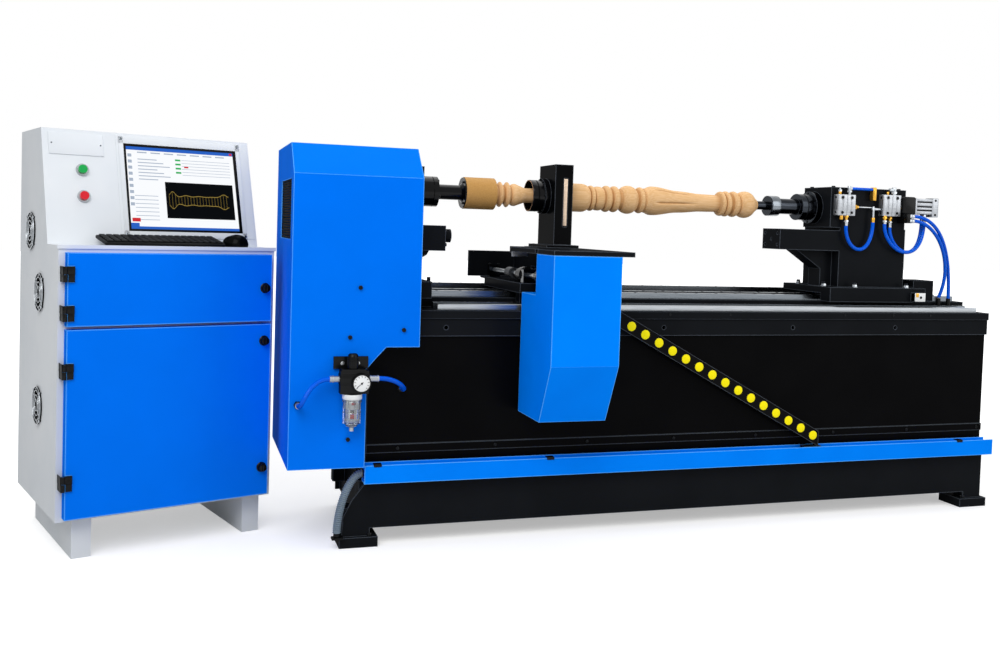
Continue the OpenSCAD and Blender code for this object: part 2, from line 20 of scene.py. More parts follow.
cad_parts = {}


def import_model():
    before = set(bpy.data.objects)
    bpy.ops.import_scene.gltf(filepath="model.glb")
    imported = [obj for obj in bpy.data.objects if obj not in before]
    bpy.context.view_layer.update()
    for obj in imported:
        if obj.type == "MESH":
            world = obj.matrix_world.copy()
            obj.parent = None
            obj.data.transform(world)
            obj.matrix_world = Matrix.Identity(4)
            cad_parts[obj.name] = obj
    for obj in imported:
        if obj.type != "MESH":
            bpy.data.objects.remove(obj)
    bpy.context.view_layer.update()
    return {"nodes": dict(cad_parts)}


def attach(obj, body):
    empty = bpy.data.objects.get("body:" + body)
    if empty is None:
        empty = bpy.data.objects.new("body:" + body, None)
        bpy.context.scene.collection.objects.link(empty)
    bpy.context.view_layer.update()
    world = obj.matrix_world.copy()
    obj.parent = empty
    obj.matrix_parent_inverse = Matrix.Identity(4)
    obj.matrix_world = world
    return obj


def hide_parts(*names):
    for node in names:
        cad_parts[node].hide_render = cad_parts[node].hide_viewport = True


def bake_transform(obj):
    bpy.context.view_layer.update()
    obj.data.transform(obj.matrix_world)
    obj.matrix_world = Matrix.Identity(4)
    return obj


LOG = logging.getLogger("lathe")
Pair = tuple[float, float]
Triple = tuple[float, float, float]
Quad = tuple[float, float, float, float]
MM_PER_M = 1000.0
FULL_TURN = 2 * pi
# The spindle's axis in Y and Z, the cabinet's turn to the lathe and its shelf's height.
AXIS: Pair = (230.0, 1112.0)
CABINET_TURN = radians(18.25)
SHELF_Z = 910.0
SHARP_ANGLE = 0.65
PAPER_WHITE = (1.0, 1.0, 1.0, 1.0)


def linear(code: str) -> Quad:
    """Turns an sRGB hex colour into the linear values that shaders use.

    Args:
        code: Six hex digits with a leading hash.

    Returns:
        Red, green, blue and an alpha of 1.
    """
    parts = [int(code[i : i + 2], 16) / 255 for i in (1, 3, 5)]
    out = [c / 12.92 if c <= 0.04045 else ((c + 0.055) / 1.055) ** 2.4 for c in parts]
    return out[0], out[1], out[2], 1.0


def add_node(tree: NodeTree, kind: str, settings: dict | None = None, **inputs: object) -> Node:
    """Adds one shader node with its settings, and sets or links its inputs.

    Args:
        tree: The material's node tree.
        kind: The node's type name, without the ShaderNode that each starts with.
        settings: Properties of the node itself.
        inputs: Socket name, with underscores for spaces, or an underscore and the socket's number, to a value or
            to another node's output.

    Returns:
        The new node.
    """
    node = tree.nodes.new(f"ShaderNode{kind}")
    for key, value in (settings or {}).items():
        setattr(node, key, value)
    for key, value in inputs.items():
        socket = node.inputs[int(key[1:]) if key[0] == "_" else key.replace("_", " ")]
        if isinstance(value, NodeSocket):
            tree.links.new(value, socket)
        else:
            socket.default_value = value
    return node


def put(obj: Object) -> None:
    """Puts an object in the scene."""
    bpy.context.scene.collection.objects.link(obj)


class Skin(Enum):
    """How a finish varies over its surface."""

    PEEL = "orange peel of powder coat"
    BRUSHED = "fine lines left by grinding"
    GRAIN = "growth rings and pores of turned wood"
    SPARK = "moulded texture of plastic"
    CAST = "machined cast iron"
    PLAIN = "smooth film"
    GLASS = "clear moulded polycarbonate"
    GLOW = "lit screen"


# How far the fine noise is drawn out along X.
STRETCH: dict[Skin, float] = {Skin.BRUSHED: 0.02, Skin.GRAIN: 0.05}


@dataclass(frozen=True)
class Finish:
    """One real finish: its name, sRGB colour, shader values and how it varies, with the colour of its painted light."""

    name: str
    colour: str
    skin: Skin
    roughness: float = 0.4
    metallic: float = 0.0
    grain_mm: float = 1.0
    bump: float = 0.1
    second: str = ""
    shine: float = 0.5
    coat: float = 0.0
    # Colour of painted light: a painted highlight on bent edges of paint, painted shade in the turned grooves of wood.
    edge: str = ""

    def build(self) -> Material:
        """Makes the material, or returns the one already made.

        Returns:
            The Blender material for this finish.
        """
        done = bpy.data.materials.get(self.name)
        if done:
            return done
        mat = bpy.data.materials.new(self.name)
        mat.use_nodes = True
        tree = mat.node_tree
        tree.nodes.clear()
        shader = add_node(tree, "BsdfPrincipled", Base_Color=linear(self.colour), Roughness=self.roughness,
                          Metallic=self.metallic, Specular_IOR_Level=self.shine, Coat_Weight=self.coat,
                          Coat_Roughness=self.roughness * 0.6)
        add_node(tree, "OutputMaterial", Surface=shader.outputs["BSDF"])
        if self.skin is Skin.GLOW:
            shader.inputs["Base Color"].default_value = (0.0, 0.0, 0.0, 1.0)
            shader.inputs["Emission Color"].default_value = linear(self.colour)
            shader.inputs["Emission Strength"].default_value = 1.0
            return mat
        if self.skin is Skin.GLASS:
            shader.inputs["Transmission Weight"].default_value = 1.0
            shader.inputs["IOR"].default_value = 1.58
            return mat
        stretch = (STRETCH.get(self.skin, 1.0), 1.0, 1.0)
        coords = add_node(tree, "TexCoord").outputs["Object"]
        mapped = add_node(tree, "Mapping", Vector=coords, Scale=stretch).outputs["Vector"]
        noise = add_node(tree, "TexNoise", Vector=mapped, Scale=MM_PER_M / self.grain_mm, Detail=3.0)
        broad = add_node(tree, "TexNoise", Vector=coords, Scale=6.0, Detail=2.0)
        self._tint(tree, shader, noise, broad)
        low = add_node(tree, "MapRange", Value=broad.outputs["Fac"], To_Min=self.roughness * 0.85,
                       To_Max=min(1.0, self.roughness * 1.2))
        tree.links.new(low.outputs["Result"], shader.inputs["Roughness"])
        bump = add_node(tree, "Bump", Strength=self.bump, Distance=self.grain_mm * 0.0004,
                        Height=noise.outputs["Fac"])
        tree.links.new(bump.outputs["Normal"], shader.inputs["Normal"])
        return mat

    def _tint(self, tree: NodeTree, shader: Node, noise: Node, broad: Node) -> None:
        """Mixes a second tone into the colour along the grain and, where the finish has one, painted light: a painted
        highlight on edges, painted shade in the grooves of wood.

        Args:
            tree: The material's node tree.
            shader: The surface shader.
            noise: The fine noise.
            broad: The broad noise.
        """
        base = np.array(linear(self.colour))
        other = np.array(linear(self.second)) if self.second else base * np.array([0.86, 0.86, 0.86, 1.0])
        source = noise if self.skin in (Skin.GRAIN, Skin.CAST, Skin.BRUSHED) else broad
        ramp = add_node(tree, "ValToRGB", Fac=source.outputs["Fac"])
        ramp.color_ramp.elements[0].position = 0.35
        ramp.color_ramp.elements[1].position = 0.65
        ramp.color_ramp.elements[0].color = tuple(other)
        ramp.color_ramp.elements[1].color = tuple(base)
        if not self.edge:
            tree.links.new(ramp.outputs["Color"], shader.inputs["Base Color"])
            return
        # The mix node's colours are its sockets 6 and 7, and its colour result is output 2.
        mix = add_node(tree, "Mix", {"data_type": "RGBA"}, _6=ramp.outputs["Color"], _7=linear(self.edge))
        tree.links.new(mix.outputs[2], shader.inputs["Base Color"])
        geometry = add_node(tree, "NewGeometry")
        if self.skin is Skin.GRAIN:
            # Painted shade in the turned grooves: they are darkened where pointiness falls below one half in a hollow.
            hollow = geometry.outputs["Pointiness"]
            painted_light_mask = add_node(tree, "MapRange", Value=hollow, From_Min=0.495, From_Max=0.43)
        else:
            # Painted highlight on a bent or cut edge: the lighter colour shows where the rounded normal leaves the flat
            # one.
            bent = add_node(tree, "Bevel", {"samples": 6}, Radius=0.0045).outputs["Normal"]
            same = add_node(tree, "VectorMath", {"operation": "DOT_PRODUCT"},
                            _0=geometry.outputs["Normal"], _1=bent)
            painted_light_mask = add_node(tree, "MapRange", Value=same.outputs["Value"], From_Min=0.985, From_Max=0.88)
        tree.links.new(painted_light_mask.outputs["Result"], mix.inputs[0])




# Paints get their gloss from a thin coat, so that a face seen at a slant keeps its colour.
# The last colour of the blue and black paints is a painted highlight laid along their edges.
BLUE = Finish("Blue_powder_coat", "#0070ee", Skin.PEEL, 0.5, 0.0, 1.6, 0.05, "#006eea", 0.0, 0.03, "#64b6ff")
LIGHT_BLUE = Finish("Light_blue_powder_coat", "#0084ff", Skin.PEEL, 0.5, 0.0, 1.6, 0.05, "#0080fa", 0.0, 0.03,
                    "#68bcff")
BLACK = Finish("Black_satin_paint", "#141619", Skin.PEEL, 0.45, 0.0, 1.5, 0.08, "#111316", 0.0, 0.05, "#50565e")
BED = Finish("Black_bed_paint", "#070708", Skin.PEEL, 0.5, 0.0, 2.0, 0.08, "#050506", 0.0, 0.04, "#4c5258")
POST = Finish("Black_gloss_paint", "#060708", Skin.PEEL, 0.3, 0.0, 1.5, 0.06, "#040405", 0.0, 0.08, "#50555c")
JAPAN = Finish("Black_oxide_polish", "#07080a", Skin.BRUSHED, 0.13, 0.0, 1.5, 0.03, "#050507", 0.14)
GREY = Finish("Light_grey_powder_coat", "#d9dde1", Skin.PEEL, 0.5, 0.0, 1.5, 0.06, "#d3d8dd", 0.0, 0.12)
STEEL = Finish("Ground_steel", "#b4b8bc", Skin.BRUSHED, 0.3, 1.0, 1.2, 0.08, "#9aa0a5")
MID_STEEL = Finish("Turned_steel", "#7e848a", Skin.BRUSHED, 0.22, 1.0, 1.2, 0.05, "#6a7076")
DARK_STEEL = Finish("Blackened_steel", "#1a1c1f", Skin.BRUSHED, 0.3, 0.6, 1.5, 0.08, "#121416", 0.15)
CHROME = Finish("Dark_polished_steel", "#363a40", Skin.BRUSHED, 0.14, 1.0, 1.5, 0.04, "#202327")
ALU = Finish("Anodised_aluminium", "#a9acb0", Skin.BRUSHED, 0.34, 0.75, 1.0, 0.06, "#909499", 0.3)
CAST = Finish("Grey_iron", "#3b3e42", Skin.CAST, 0.5, 0.5, 2.5, 0.15, "#2d3034", 0.2)
PLASTIC = Finish("Black_ABS", "#090a0b", Skin.SPARK, 0.4, 0.0, 0.8, 0.12, "", 0.0, 0.25)
TUBE = Finish("Blue_polyurethane_tube", "#005cde", Skin.PLAIN, 0.22, 0.0, 3.0, 0.02, "#0054d0", 0.0, 0.2)
CONDUIT = Finish("Grey_PVC_conduit", "#7d8c99", Skin.SPARK, 0.5, 0.0, 1.0, 0.1, "#6c7a86", 0.1)
# The wood's last colour is painted shade laid in its turned grooves.
WOOD = Finish("Turned_beech", "#e0b98b", Skin.GRAIN, 0.5, 0.0, 3.5, 0.05, "#d3a772", 0.0, 0.15, "#a87441")
STOCK = Finish("Pressed_stock_sleeve", "#bd9256", Skin.CAST, 0.55, 0.0, 2.5, 0.08, "#ab7f46", 0.0, 0.15)
BELT = Finish("Belt_rubber", "#1a1a1b", Skin.SPARK, 0.8, shine=0.1)
BRASS = Finish("Brass", "#d9a640", Skin.BRUSHED, 0.28, 0.85, 1.0, 0.05, "#b98a34")
COPPER = Finish("Carbide_blade", "#dcc6b0", Skin.BRUSHED, 0.34, 0.5, 1.0, 0.05, "#c9b19a", 0.2)
BRONZE = Finish("Bronze_insert", "#b98a5a", Skin.BRUSHED, 0.38, 0.7, 1.0, 0.05, "#a5774a", 0.2)
CLEAR = Finish("Clear_polycarbonate", "#f4f8fb", Skin.GLASS, 0.03)
WHITE = Finish("White_enamel", "#eceeee", Skin.PLAIN, 0.4, 0.0, 4.0, 0.01, "#e6e8e8", 0.2)
GREEN = Finish("Green_ABS", "#14a04a", Skin.PLAIN, 0.3, 0.0, 3.0, 0.02, "#109244", 0.2)
RED = Finish("Red_ABS", "#d62430", Skin.PLAIN, 0.3, 0.0, 3.0, 0.02, "#c61e2a", 0.2)
YELLOW = Finish("Yellow_marker_disc", "#fff00a", Skin.PLAIN, 0.5, 0.0, 3.0, 0.02, "#fbea08", 0.1)
S_BLUE, S_WHITE, S_GREY, S_BLACK, S_GREEN, S_RED, S_YELLOW = (
    Finish(f"Screen_{name}", colour, Skin.GLOW, 0.25 if name == "black" else 0.3, shine=0.0)
    for name, colour in (("bar_blue", "#2b62c4"), ("white", "#fafcff"), ("grey", "#aab6c8"), ("black", "#0b0d10"),
                         ("green", "#38b060"), ("red", "#d03038"), ("gold", "#9c8540"))
)


@dataclass(frozen=True)
class Place:
    """A drawing frame: a turn and a shift from its millimetres to the shared metres."""

    turn: np.ndarray
    shift: np.ndarray

    def to_world(self, points: np.ndarray) -> np.ndarray:
        """Points in metres of the shared frame, from an array of millimetre points (turn, then shift)."""
        return (points @ self.turn.T + self.shift) / MM_PER_M

    def inner(self, turn: np.ndarray, shift: Triple) -> Place:
        """A frame drawn inside this one."""
        return Place(self.turn @ turn, self.turn @ np.array(shift) + self.shift)


def turn_about(axis: int, angle: float) -> np.ndarray:
    """The 3 by 3 turn about row axis 0, 1 or 2 by an angle in radians."""
    return np.array(Matrix.Rotation(angle, 3, "XYZ"[axis]))


LATHE = Place(np.eye(3), np.array([-1230.0, -255.0, 0.0]))
CABINET = LATHE.inner(turn_about(2, CABINET_TURN), (-806.0, 36.0, 0.0))
SLOPE = CABINET.inner(turn_about(0, atan2(347, 108)), (0.0, 138.0, SHELF_Z))


def around(count: int) -> np.ndarray:
    """Angles of evenly spread points on a circle, from 0."""
    return np.linspace(0, FULL_TURN, count, endpoint=False)


def circle(count: int, radius: float, start: float = 0.0, centre: Pair = AXIS) -> list[Pair]:
    """Evenly spread spots of a bolt circle: its centre plus the radius times cosine and sine."""
    return [(centre[0] + radius * cos(a), centre[1] + radius * sin(a)) for a in around(count) + start]


def lay(axis: int, along: np.ndarray, u: np.ndarray, v: np.ndarray) -> np.ndarray:
    """Spreads three coordinates to one shape and joins them to points.

    Args:
        axis: The row axis that the first coordinate runs along.
        along: That coordinate.
        u: The first of the other two, in X, Y, Z order.
        v: The second of them.

    Returns:
        Points in the last dimension.
    """
    parts = [u, v]
    parts.insert(axis, along)
    return np.stack(np.broadcast_arrays(*parts), -1)


def each(solid: Callable[..., object], *rows: tuple) -> None:
    """Draws one kind of solid once for every row of its arguments."""
    for row in rows:
        solid(*row)


@dataclass
class Batch:
    """Many small solids of one finish on one body, gathered into a single piece."""

    name: str
    finish: Finish
    body: str = "bed"
    place: Place = LATHE
    verts: list[np.ndarray] = field(default_factory=list)
    faces: list[tuple[int, ...]] = field(default_factory=list)
    count: int = 0

    def loft(self, rings: np.ndarray, caps: bool = True, closed: bool = False) -> Batch:
        """Joins rings of points into a skin.

        Args:
            rings: Array of rings, each of the same number of points in millimetres.
            caps: Whether the first and last ring are filled.
            closed: Whether the last ring joins the first.

        Returns:
            The batch itself, as every solid does, so that calls can be chained.
        """
        m, n = rings.shape[:2]
        a = np.arange(n)
        b = (a + 1) % n
        faces: list[tuple[int, ...]] = []
        for i in range(m if closed else m - 1):
            j = (i + 1) % m
            faces += np.stack([i * n + a, i * n + b, j * n + b, j * n + a], 1).tolist()
        if caps and not closed:
            faces += [list(range(n - 1, -1, -1)), list(range((m - 1) * n, m * n))]
        pts = rings.reshape(-1, 3)
        # The signed volume of the skin tells whether the faces point outwards.
        tri = [(f[0], f[k], f[k + 1]) for f in faces for k in range(1, len(f) - 1)]
        t = pts[np.array(tri)] - pts.mean(0)
        step = -1 if np.einsum("ij,ij->i", t[:, 0], np.cross(t[:, 1], t[:, 2])).sum() < 0 else 1
        self.faces += [tuple(i + self.count for i in f[::step]) for f in faces]
        self.verts.append(self.place.to_world(pts))
        self.count += len(pts)
        return self

    def block(self, x: Pair, y: Pair, z: Pair, edge: float = 1.5, corner: float = 2.0, along: int = 2) -> Batch:
        """A box with rounded edges: a rounded rectangle carried along one axis, drawn in near its ends.

        Args:
            x: Lowest and highest x.
            y: Lowest and highest y.
            z: Lowest and highest z.
            edge: Size of the rounding at the two ends.
            corner: Radius of the rectangle's corners.
            along: The axis that the rectangle is carried along.

        Returns:
            The batch itself.
        """
        lims = np.array([x, y, z], float)
        order = [(along + 1) % 3, (along + 2) % 3, along]
        mid, half = lims.mean(1)[order], (np.ptp(lims, axis=1) / 2)[order]
        edge = min(edge, half.min() * 0.9)
        corner = min(max(corner, edge + 0.01), half[:2].min() * 0.98)
        # Each end is a quarter circle in three steps, and each corner one in four.
        t = np.array([0.0, 0.25, 0.5]) * pi
        inset, rise = edge * (1 - np.sin(t)), edge * (1 - np.cos(t)) - half[2]
        r = corner - np.r_[inset, inset[::-1]][:, None]
        ang = (np.arange(4)[:, None] * pi / 2 + np.linspace(0, pi / 2, 4)).ravel()
        rings = np.zeros((6, 16, 3))
        rings[..., order[0]] = mid[0] + np.repeat([1, -1, -1, 1], 4) * (half[0] - corner) + r * np.cos(ang)
        rings[..., order[1]] = mid[1] + np.repeat([1, 1, -1, -1], 4) * (half[1] - corner) + r * np.sin(ang)
        rings[..., order[2]] = mid[2] + np.r_[rise, -rise[::-1]][:, None]
        return self.loft(rings)

    def turned(self, axis: int, centre: Pair, profile: list[Pair], sides: int = 40, caps: bool = True) -> Batch:
        """A solid of revolution: radius as a function of the distance along a row axis.

        Args:
            axis: The row axis it turns about.
            centre: The axis' other two coordinates, in X, Y, Z order.
            profile: Distance along the axis and radius, in order.
            sides: Points round.
            caps: Whether the ends are filled.

        Returns:
            The batch itself.
        """
        at, r = np.array(profile, float).T[:, :, None]
        a = around(sides)
        return self.loft(lay(axis, at, centre[0] + r * np.cos(a), centre[1] + r * np.sin(a)), caps)

    def can(self, axis: int, centre: Pair, lo: float, hi: float, r: float, edge: float = 1.0, sides: int = 28) -> Batch:
        """A plain turned disc or rod with a small round at both ends."""
        e = min(edge, r * 0.4, (hi - lo) * 0.4)
        half = [(0, r - e), (0.3 * e, r - 0.3 * e), (e, r)]
        return self.turned(axis, centre, [(lo + d, q) for d, q in half] + [(hi - d, q) for d, q in half[::-1]], sides)

    def ring(self, axis: int, centre: Pair, at: float, r: float, thick: float, sides: int = 40) -> Batch:
        """A torus: a circle of radius thick carried round a circle of radius r."""
        a, b = around(sides)[:, None], around(8)
        wide = r + thick * np.cos(b)
        rings = lay(axis, at + thick * np.sin(b), centre[0] + wide * np.cos(a), centre[1] + wide * np.sin(a))
        return self.loft(rings, False, True)

    def _head(self, axis: int, sign: int, pos: Triple, outline: list[Pair], sides: int) -> Batch:
        """Turns an outline of distance off a face and radius about the axis through a position."""
        u, v = (pos[i] for i in range(3) if i != axis)
        return self.turned(axis, (u, v), [(pos[axis] + sign * d, q) for d, q in outline], sides)

    def screw(self, axis: int, sign: int, pos: Triple, r: float, h: float = 0.0) -> Batch:
        """A socket head cap screw: a turned head with its socket, standing off a face along sign times axis."""
        h = h or r * 1.2
        outline = [(0.0, r), (h * 0.8, r), (h, r * 0.85), (h, r * 0.5), (h * 0.35, r * 0.46), (h * 0.35, 0.01)]
        return self._head(axis, sign, pos, outline, 18)

    def hex(self, axis: int, sign: int, pos: Triple, r: float, h: float) -> Batch:
        """A hexagon bolt head, chamfered at its free face."""
        return self._head(axis, sign, pos, [(0.0, r), (h * 0.8, r), (h, r * 0.88)], 6)

    def done(self, slot: str, *replaces: str) -> Object:
        """Makes the object, dresses it and puts it on its body.

        Args:
            slot: The record's material slot; not used.
            replaces: CAD nodes that it stands for.

        Returns:
            The new object.
        """
        mesh = bpy.data.meshes.new(self.name)
        mesh.from_pydata(np.concatenate(self.verts).tolist(), [], self.faces)
        mesh.polygons.foreach_set("use_smooth", np.ones(len(mesh.polygons), bool))
        mesh.set_sharp_from_angle(angle=SHARP_ANGLE)
        mesh.update()
        obj = bpy.data.objects.new(self.name, mesh)
        put(obj)
        mesh.materials.append(self.finish.build())
        if replaces:
            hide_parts(*replaces)
        if self.body:
            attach(obj, self.body)
        LOG.info("%s: %d faces", self.name, len(self.faces))
        return obj


def bezier(points: np.ndarray, steps: int) -> np.ndarray:
    """Points along the cubic curve of four control points: the sum of the Bernstein weights times the points."""
    t = np.linspace(0, 1, steps)[:, None]
    u = 1 - t
    return u**3 * points[0] + 3 * u * u * t * points[1] + 3 * u * t * t * points[2] + t**3 * points[3]


@dataclass
class Hose:
    """One flexible hose between two fittings, on the same four control points as the source."""

    name: str
    points: tuple[Triple, ...]
    radius: float
    body: str
    node: str
    finish: Finish = TUBE
    ribs: bool = False
    rib_pitch: float = 6.0

    def build(self) -> Object:
        """Sweeps a circle along the curve; a ribbed hose's radius goes up and down once every pitch.

        Returns:
            The hose's object.
        """
        path = bezier(np.array(self.points, float), 260 if self.ribs else 64)
        d = np.gradient(path, axis=0)
        d /= np.linalg.norm(d, axis=1)[:, None]
        # No hose starts along Y. Its first side is carried on, less its part along each new step.
        sides = [np.cross((0.0, 1.0, 0.0), d[0])]
        for step in d[1:]:
            sides.append(sides[-1] - step * np.dot(sides[-1], step))
        side = np.array(sides)
        side /= np.linalg.norm(side, axis=1)[:, None]
        a = around(16)[None, :, None]
        length = np.r_[0, np.cumsum(np.linalg.norm(np.diff(path, axis=0), axis=1))]
        r = self.radius + (np.sin(length * FULL_TURN / self.rib_pitch) * 1.3 - 0.3 if self.ribs else 0 * length)
        spoke = np.cos(a) * side[:, None] + np.sin(a) * np.cross(d, side)[:, None]
        batch = Batch(self.name, self.finish, self.body).loft(path[:, None] + r[:, None, None] * spoke)
        obj = batch.done("grey_conduit" if self.ribs else "blue_tube", self.node)
        return obj


CAD_FINISH: dict[str, Finish] = {
    node: finish
    for finish, nodes in (
        (BLACK, "foot_pads base_frame bed_beam head_base head_housing head_arm saddle tail_base tail_head"),
        (BED, "bed_body"),
        (DARK_STEEL, "bed_strip screws spindle_motor"),
        (LIGHT_BLUE, "tray carriage_cover"),
        (BLUE, "head_cover upper_door lower_door"),
        (GREY, "cabinet_body cabinet_panel"),
        (POST, "tool_post drag_arm"),
        (MID_STEEL, "carriage_rails tail_rails"),
        (STEEL, "x_rack spindle_bearings button_bezels y_screw x_pinion"),
        (ALU, "air_fittings cabinet_electrics motor_pulley"),
        (CHROME, "carriage_drives quill live_centre"),
        (JAPAN, "spindle"),
        (CAST, "tool_slide"),
        (BELT, "drive_belt"),
        (GREEN, "green_button"),
        (RED, "red_button"),
    )
    for node in nodes.split()
}


def dress_cad(frame: dict) -> None:
    """Gives every CAD node its real finish; one that isn't listed is black plastic.
    """
    for name, obj in frame["nodes"].items():
        finish = CAD_FINISH.get(name, PLASTIC)
        obj.data.materials.clear()
        obj.data.materials.append(finish.build())
        LOG.info("%s: %s", name, finish.name)


@dataclass
class Bed:
    """The bed: rack, strip, tray, dark vent slats that give painted shade, rail screws and bolts."""

    rail_rows: tuple[Pair, ...] = ((111.5, 754.0), (456.5, 796.0), (179.5, 786.0), (280.5, 786.0))
    tooth_mm: float = 6.28

    def build(self) -> None:
        """Makes the bed's pieces."""
        self._rack()
        strip = Batch("front_strip", BLACK).block((231, 2445), (13.3, 19.6), (707.5, 734.1), 0.8, 1.2, 0)
        strip.done("dark_steel", "bed_strip")
        # The tray is one bent channel: a closed outline of its floor and walls, carried along the bed.
        y, z = np.array([(-24.5, 203), (24.5, 203), (24.5, 260), (21.5, 260), (21.5, 206), (-21.5, 206), (-21.5, 260),
                         (-24.5, 260)]).T
        tray = Batch("tray_channel", LIGHT_BLUE).loft(lay(0, np.array([[69.0], [2456.0]]), y, z))
        tray.done("blue_paint", "tray")
        # Dark slats behind the head cover's vent are painted shade: they stand in for the shade inside the cover.
        slats = Batch("vent_shade_slats", BED)
        for low in np.arange(947, 1124, 8):
            slats.block((-162.3, -158), (18, 320), (low, low + 5.5), 0.5, 0.8, 1)
        slats.done("black_paint")
        screws = Batch("rail_screws", DARK_STEEL)
        for y, z in self.rail_rows:
            each(screws.can, *((2, (x, y), z, z + 0.6, 4.5, 0.2, 12) for x in np.arange(330, 2400, 80)))
        screws.done("steel")
        bolts = Batch("pad_bolts", DARK_STEEL)
        each(bolts.hex, *((2, 1, (x, y, 32), 8, 8) for x, y in ((94, 16), (2366, 16), (197, 494), (2263, 494))))
        each(bolts.screw, *((1, -1, (x, 24.5, 300), 5, 3) for x in np.arange(180, 2440, 320)))
        bolts.done("dark_steel")

    def _rack(self) -> None:
        """The rack: a bar whose top goes up and down as a trapezoid wave every tooth."""
        x = np.arange(300, 2410, self.tooth_mm / 4)
        top = 752 - 3.2 * np.clip(1.5 * np.abs(((x / self.tooth_mm) % 1) * 2 - 1) - 0.25, 0, 1)
        z = np.stack([0 * x + 734, 0 * x + 734, top, top], 1)
        rings = lay(0, x[:, None], np.array([40, 60, 60, 40]), z)
        Batch("rack_teeth", STEEL).loft(rings).done("steel", "x_rack")


def bead(x: float, r: float, w: float) -> list[Pair]:
    """Points of a bead's outline: a half circle of radius w whose top reaches radius r."""
    return [(x + w * sin(a), r - w + w * cos(a)) for a in np.linspace(-1.45, 1.45, 11)]


def ease(x0: float, r0: float, x1: float, r1: float, n: int = 10) -> list[Pair]:
    """Points of a smooth S between two radii: r0 plus the difference times (3 t squared less 2 t cubed)."""
    return [(x0 + (x1 - x0) * a, r0 + (r1 - r0) * (3 * a * a - 2 * a**3)) for a in np.linspace(0, 1, n)]


@dataclass
class Work:
    """The turned stock between the drive disc and the live centre."""

    turned_from: float = 530.0
    turned_to: float = 1548.0
    flutes: int = 6
    slim: float = 0.925

    def build(self) -> None:
        """Turns the outline about the spindle axis, then carves the flutes of the vase."""
        p = [(427, 0.5), (427, 33), (532, 33), (541, 32.5)]
        swell = ((-10, 32.5), (-8, 36), (-5, 41), (-2, 45.4), (0, 46.5), (2, 45.4), (5, 41), (8, 36), (10, 32.5))
        p += [(x + d, r) for x in (552, 577) for d, r in swell]
        p += [(589, 33), (592, 37), (598, 40.4), (604, 41), (607, 40.6), (640, 27.4), (644, 27), (700, 27)]
        p += ease(706, 30, 800, 53, 9) + [(852, 53), (860, 51.5), (868, 48), (874, 43), (877, 38.5)]
        p += bead(886, 48, 7) + [(895, 38), (898, 40), (901, 43), (906, 45), (913, 45.5), (920, 45), (926, 42.5)]
        p += [(930, 39)]
        p += bead(945, 50, 11.5) + [(960, 38)] + bead(975, 49.7, 11.5) + [(990, 37.5)]
        p += [(1028 + 33 * sin(a), 24 + 29.8 * cos(a)) for a in np.linspace(-1.05, 1.05, 15)] + [(1061, 38)]
        p += bead(1074, 50, 8.5) + [(1085, 42.5), (1088, 43)]
        p += ease(1090, 46, 1118, 55.3, 7) + ease(1126, 55.2, 1226, 42, 16) + ease(1232, 41.4, 1318, 34.4, 10)
        p += ease(1330, 34.2, 1384, 33.2, 4) + bead(1399, 48, 8) + [(1409, 39)] + bead(1420, 49.8, 9) + [(1435, 39)]
        p += bead(1452, 50.6, 11) + [(1468, 39)]
        p += [(1500 + 36 * sin(a), 20 + 32.7 * cos(a)) for a in np.linspace(-1.0, 1.15, 16)]
        p += [(1542, 27), (1548, 20.2), (1548.2, 15), (1528.5, 0.5)]
        x, r = np.array(p).T[:, :, None]
        # The work is drawn a little thinner than it measures, so that the ring can pass over it.
        r = np.where((x > self.turned_from) & (x < self.turned_to), r * self.slim, r)
        a = around(120)
        turn = (a * self.flutes / FULL_TURN + 0.35) % 1.0 - 0.5
        fade = np.clip((x - 1112) / 26, 0, 1) * np.clip((1296 - x) / 60, 0, 1)
        wide = 0.05 + 0.05 * np.clip((x - 1112) / 180, 0, 1)
        full = r - 5.0 * fade * np.exp(-((turn / wide) ** 2))
        rings = lay(0, x, AXIS[0] + full * np.cos(a), AXIS[1] + full * np.sin(a))
        Batch("turned_leg", WOOD, "spindle").loft(rings).done("wood", "workpiece")
        bark = [(424, 34), (424, 52.6), (424.7, 53.3), (529.3, 53.3), (530, 52.6), (530, 34)]
        Batch("stock_sleeve", STOCK, "spindle").turned(0, AXIS, bark, 72, False).done("wood")


@dataclass
class Headstock:
    """Bolts and rings on the headstock and its cover."""

    def build(self) -> None:
        """Makes the headstock's pieces."""
        bolts = Batch("headstock_bolts", DARK_STEEL)
        each(bolts.screw, *((1, -1, (x, -42, z), 6.5, 3) for x, z in ((39, 806), (11, 656), (175, 678), (12, 347))))
        each(bolts.screw, *((0, 1, (264, *spot), 5.5) for spot in circle(6, 66, 0.3)))
        each(bolts.screw, *((0, 1, (341, y, z), 6) for z in (938, 980) for y in (140, 218)))
        bolts.done("black_steel_fastener")
        cap = [(264, 54), (264, 76), (265, 77), (265.6, 76), (265.8, 54)]
        Batch("bearing_cap", BLACK).turned(0, AXIS, cap, 56, False).done("black_paint")
        nuts = Batch("nose_slots", JAPAN, "spindle")
        each(nuts.screw, *((0, 1, (331, *spot), 5) for spot in circle(4, 38, 0.4)))
        each(nuts.screw, *((0, -1, (419.6, *spot), 4) for spot in circle(3, 40)))
        nuts.turned(0, AXIS, [(413, 25.2), (419.6, 33), (419.6, 50.8), (423.6, 51.2), (423.8, 40)], 56, False)
        nuts.done("dark_steel")


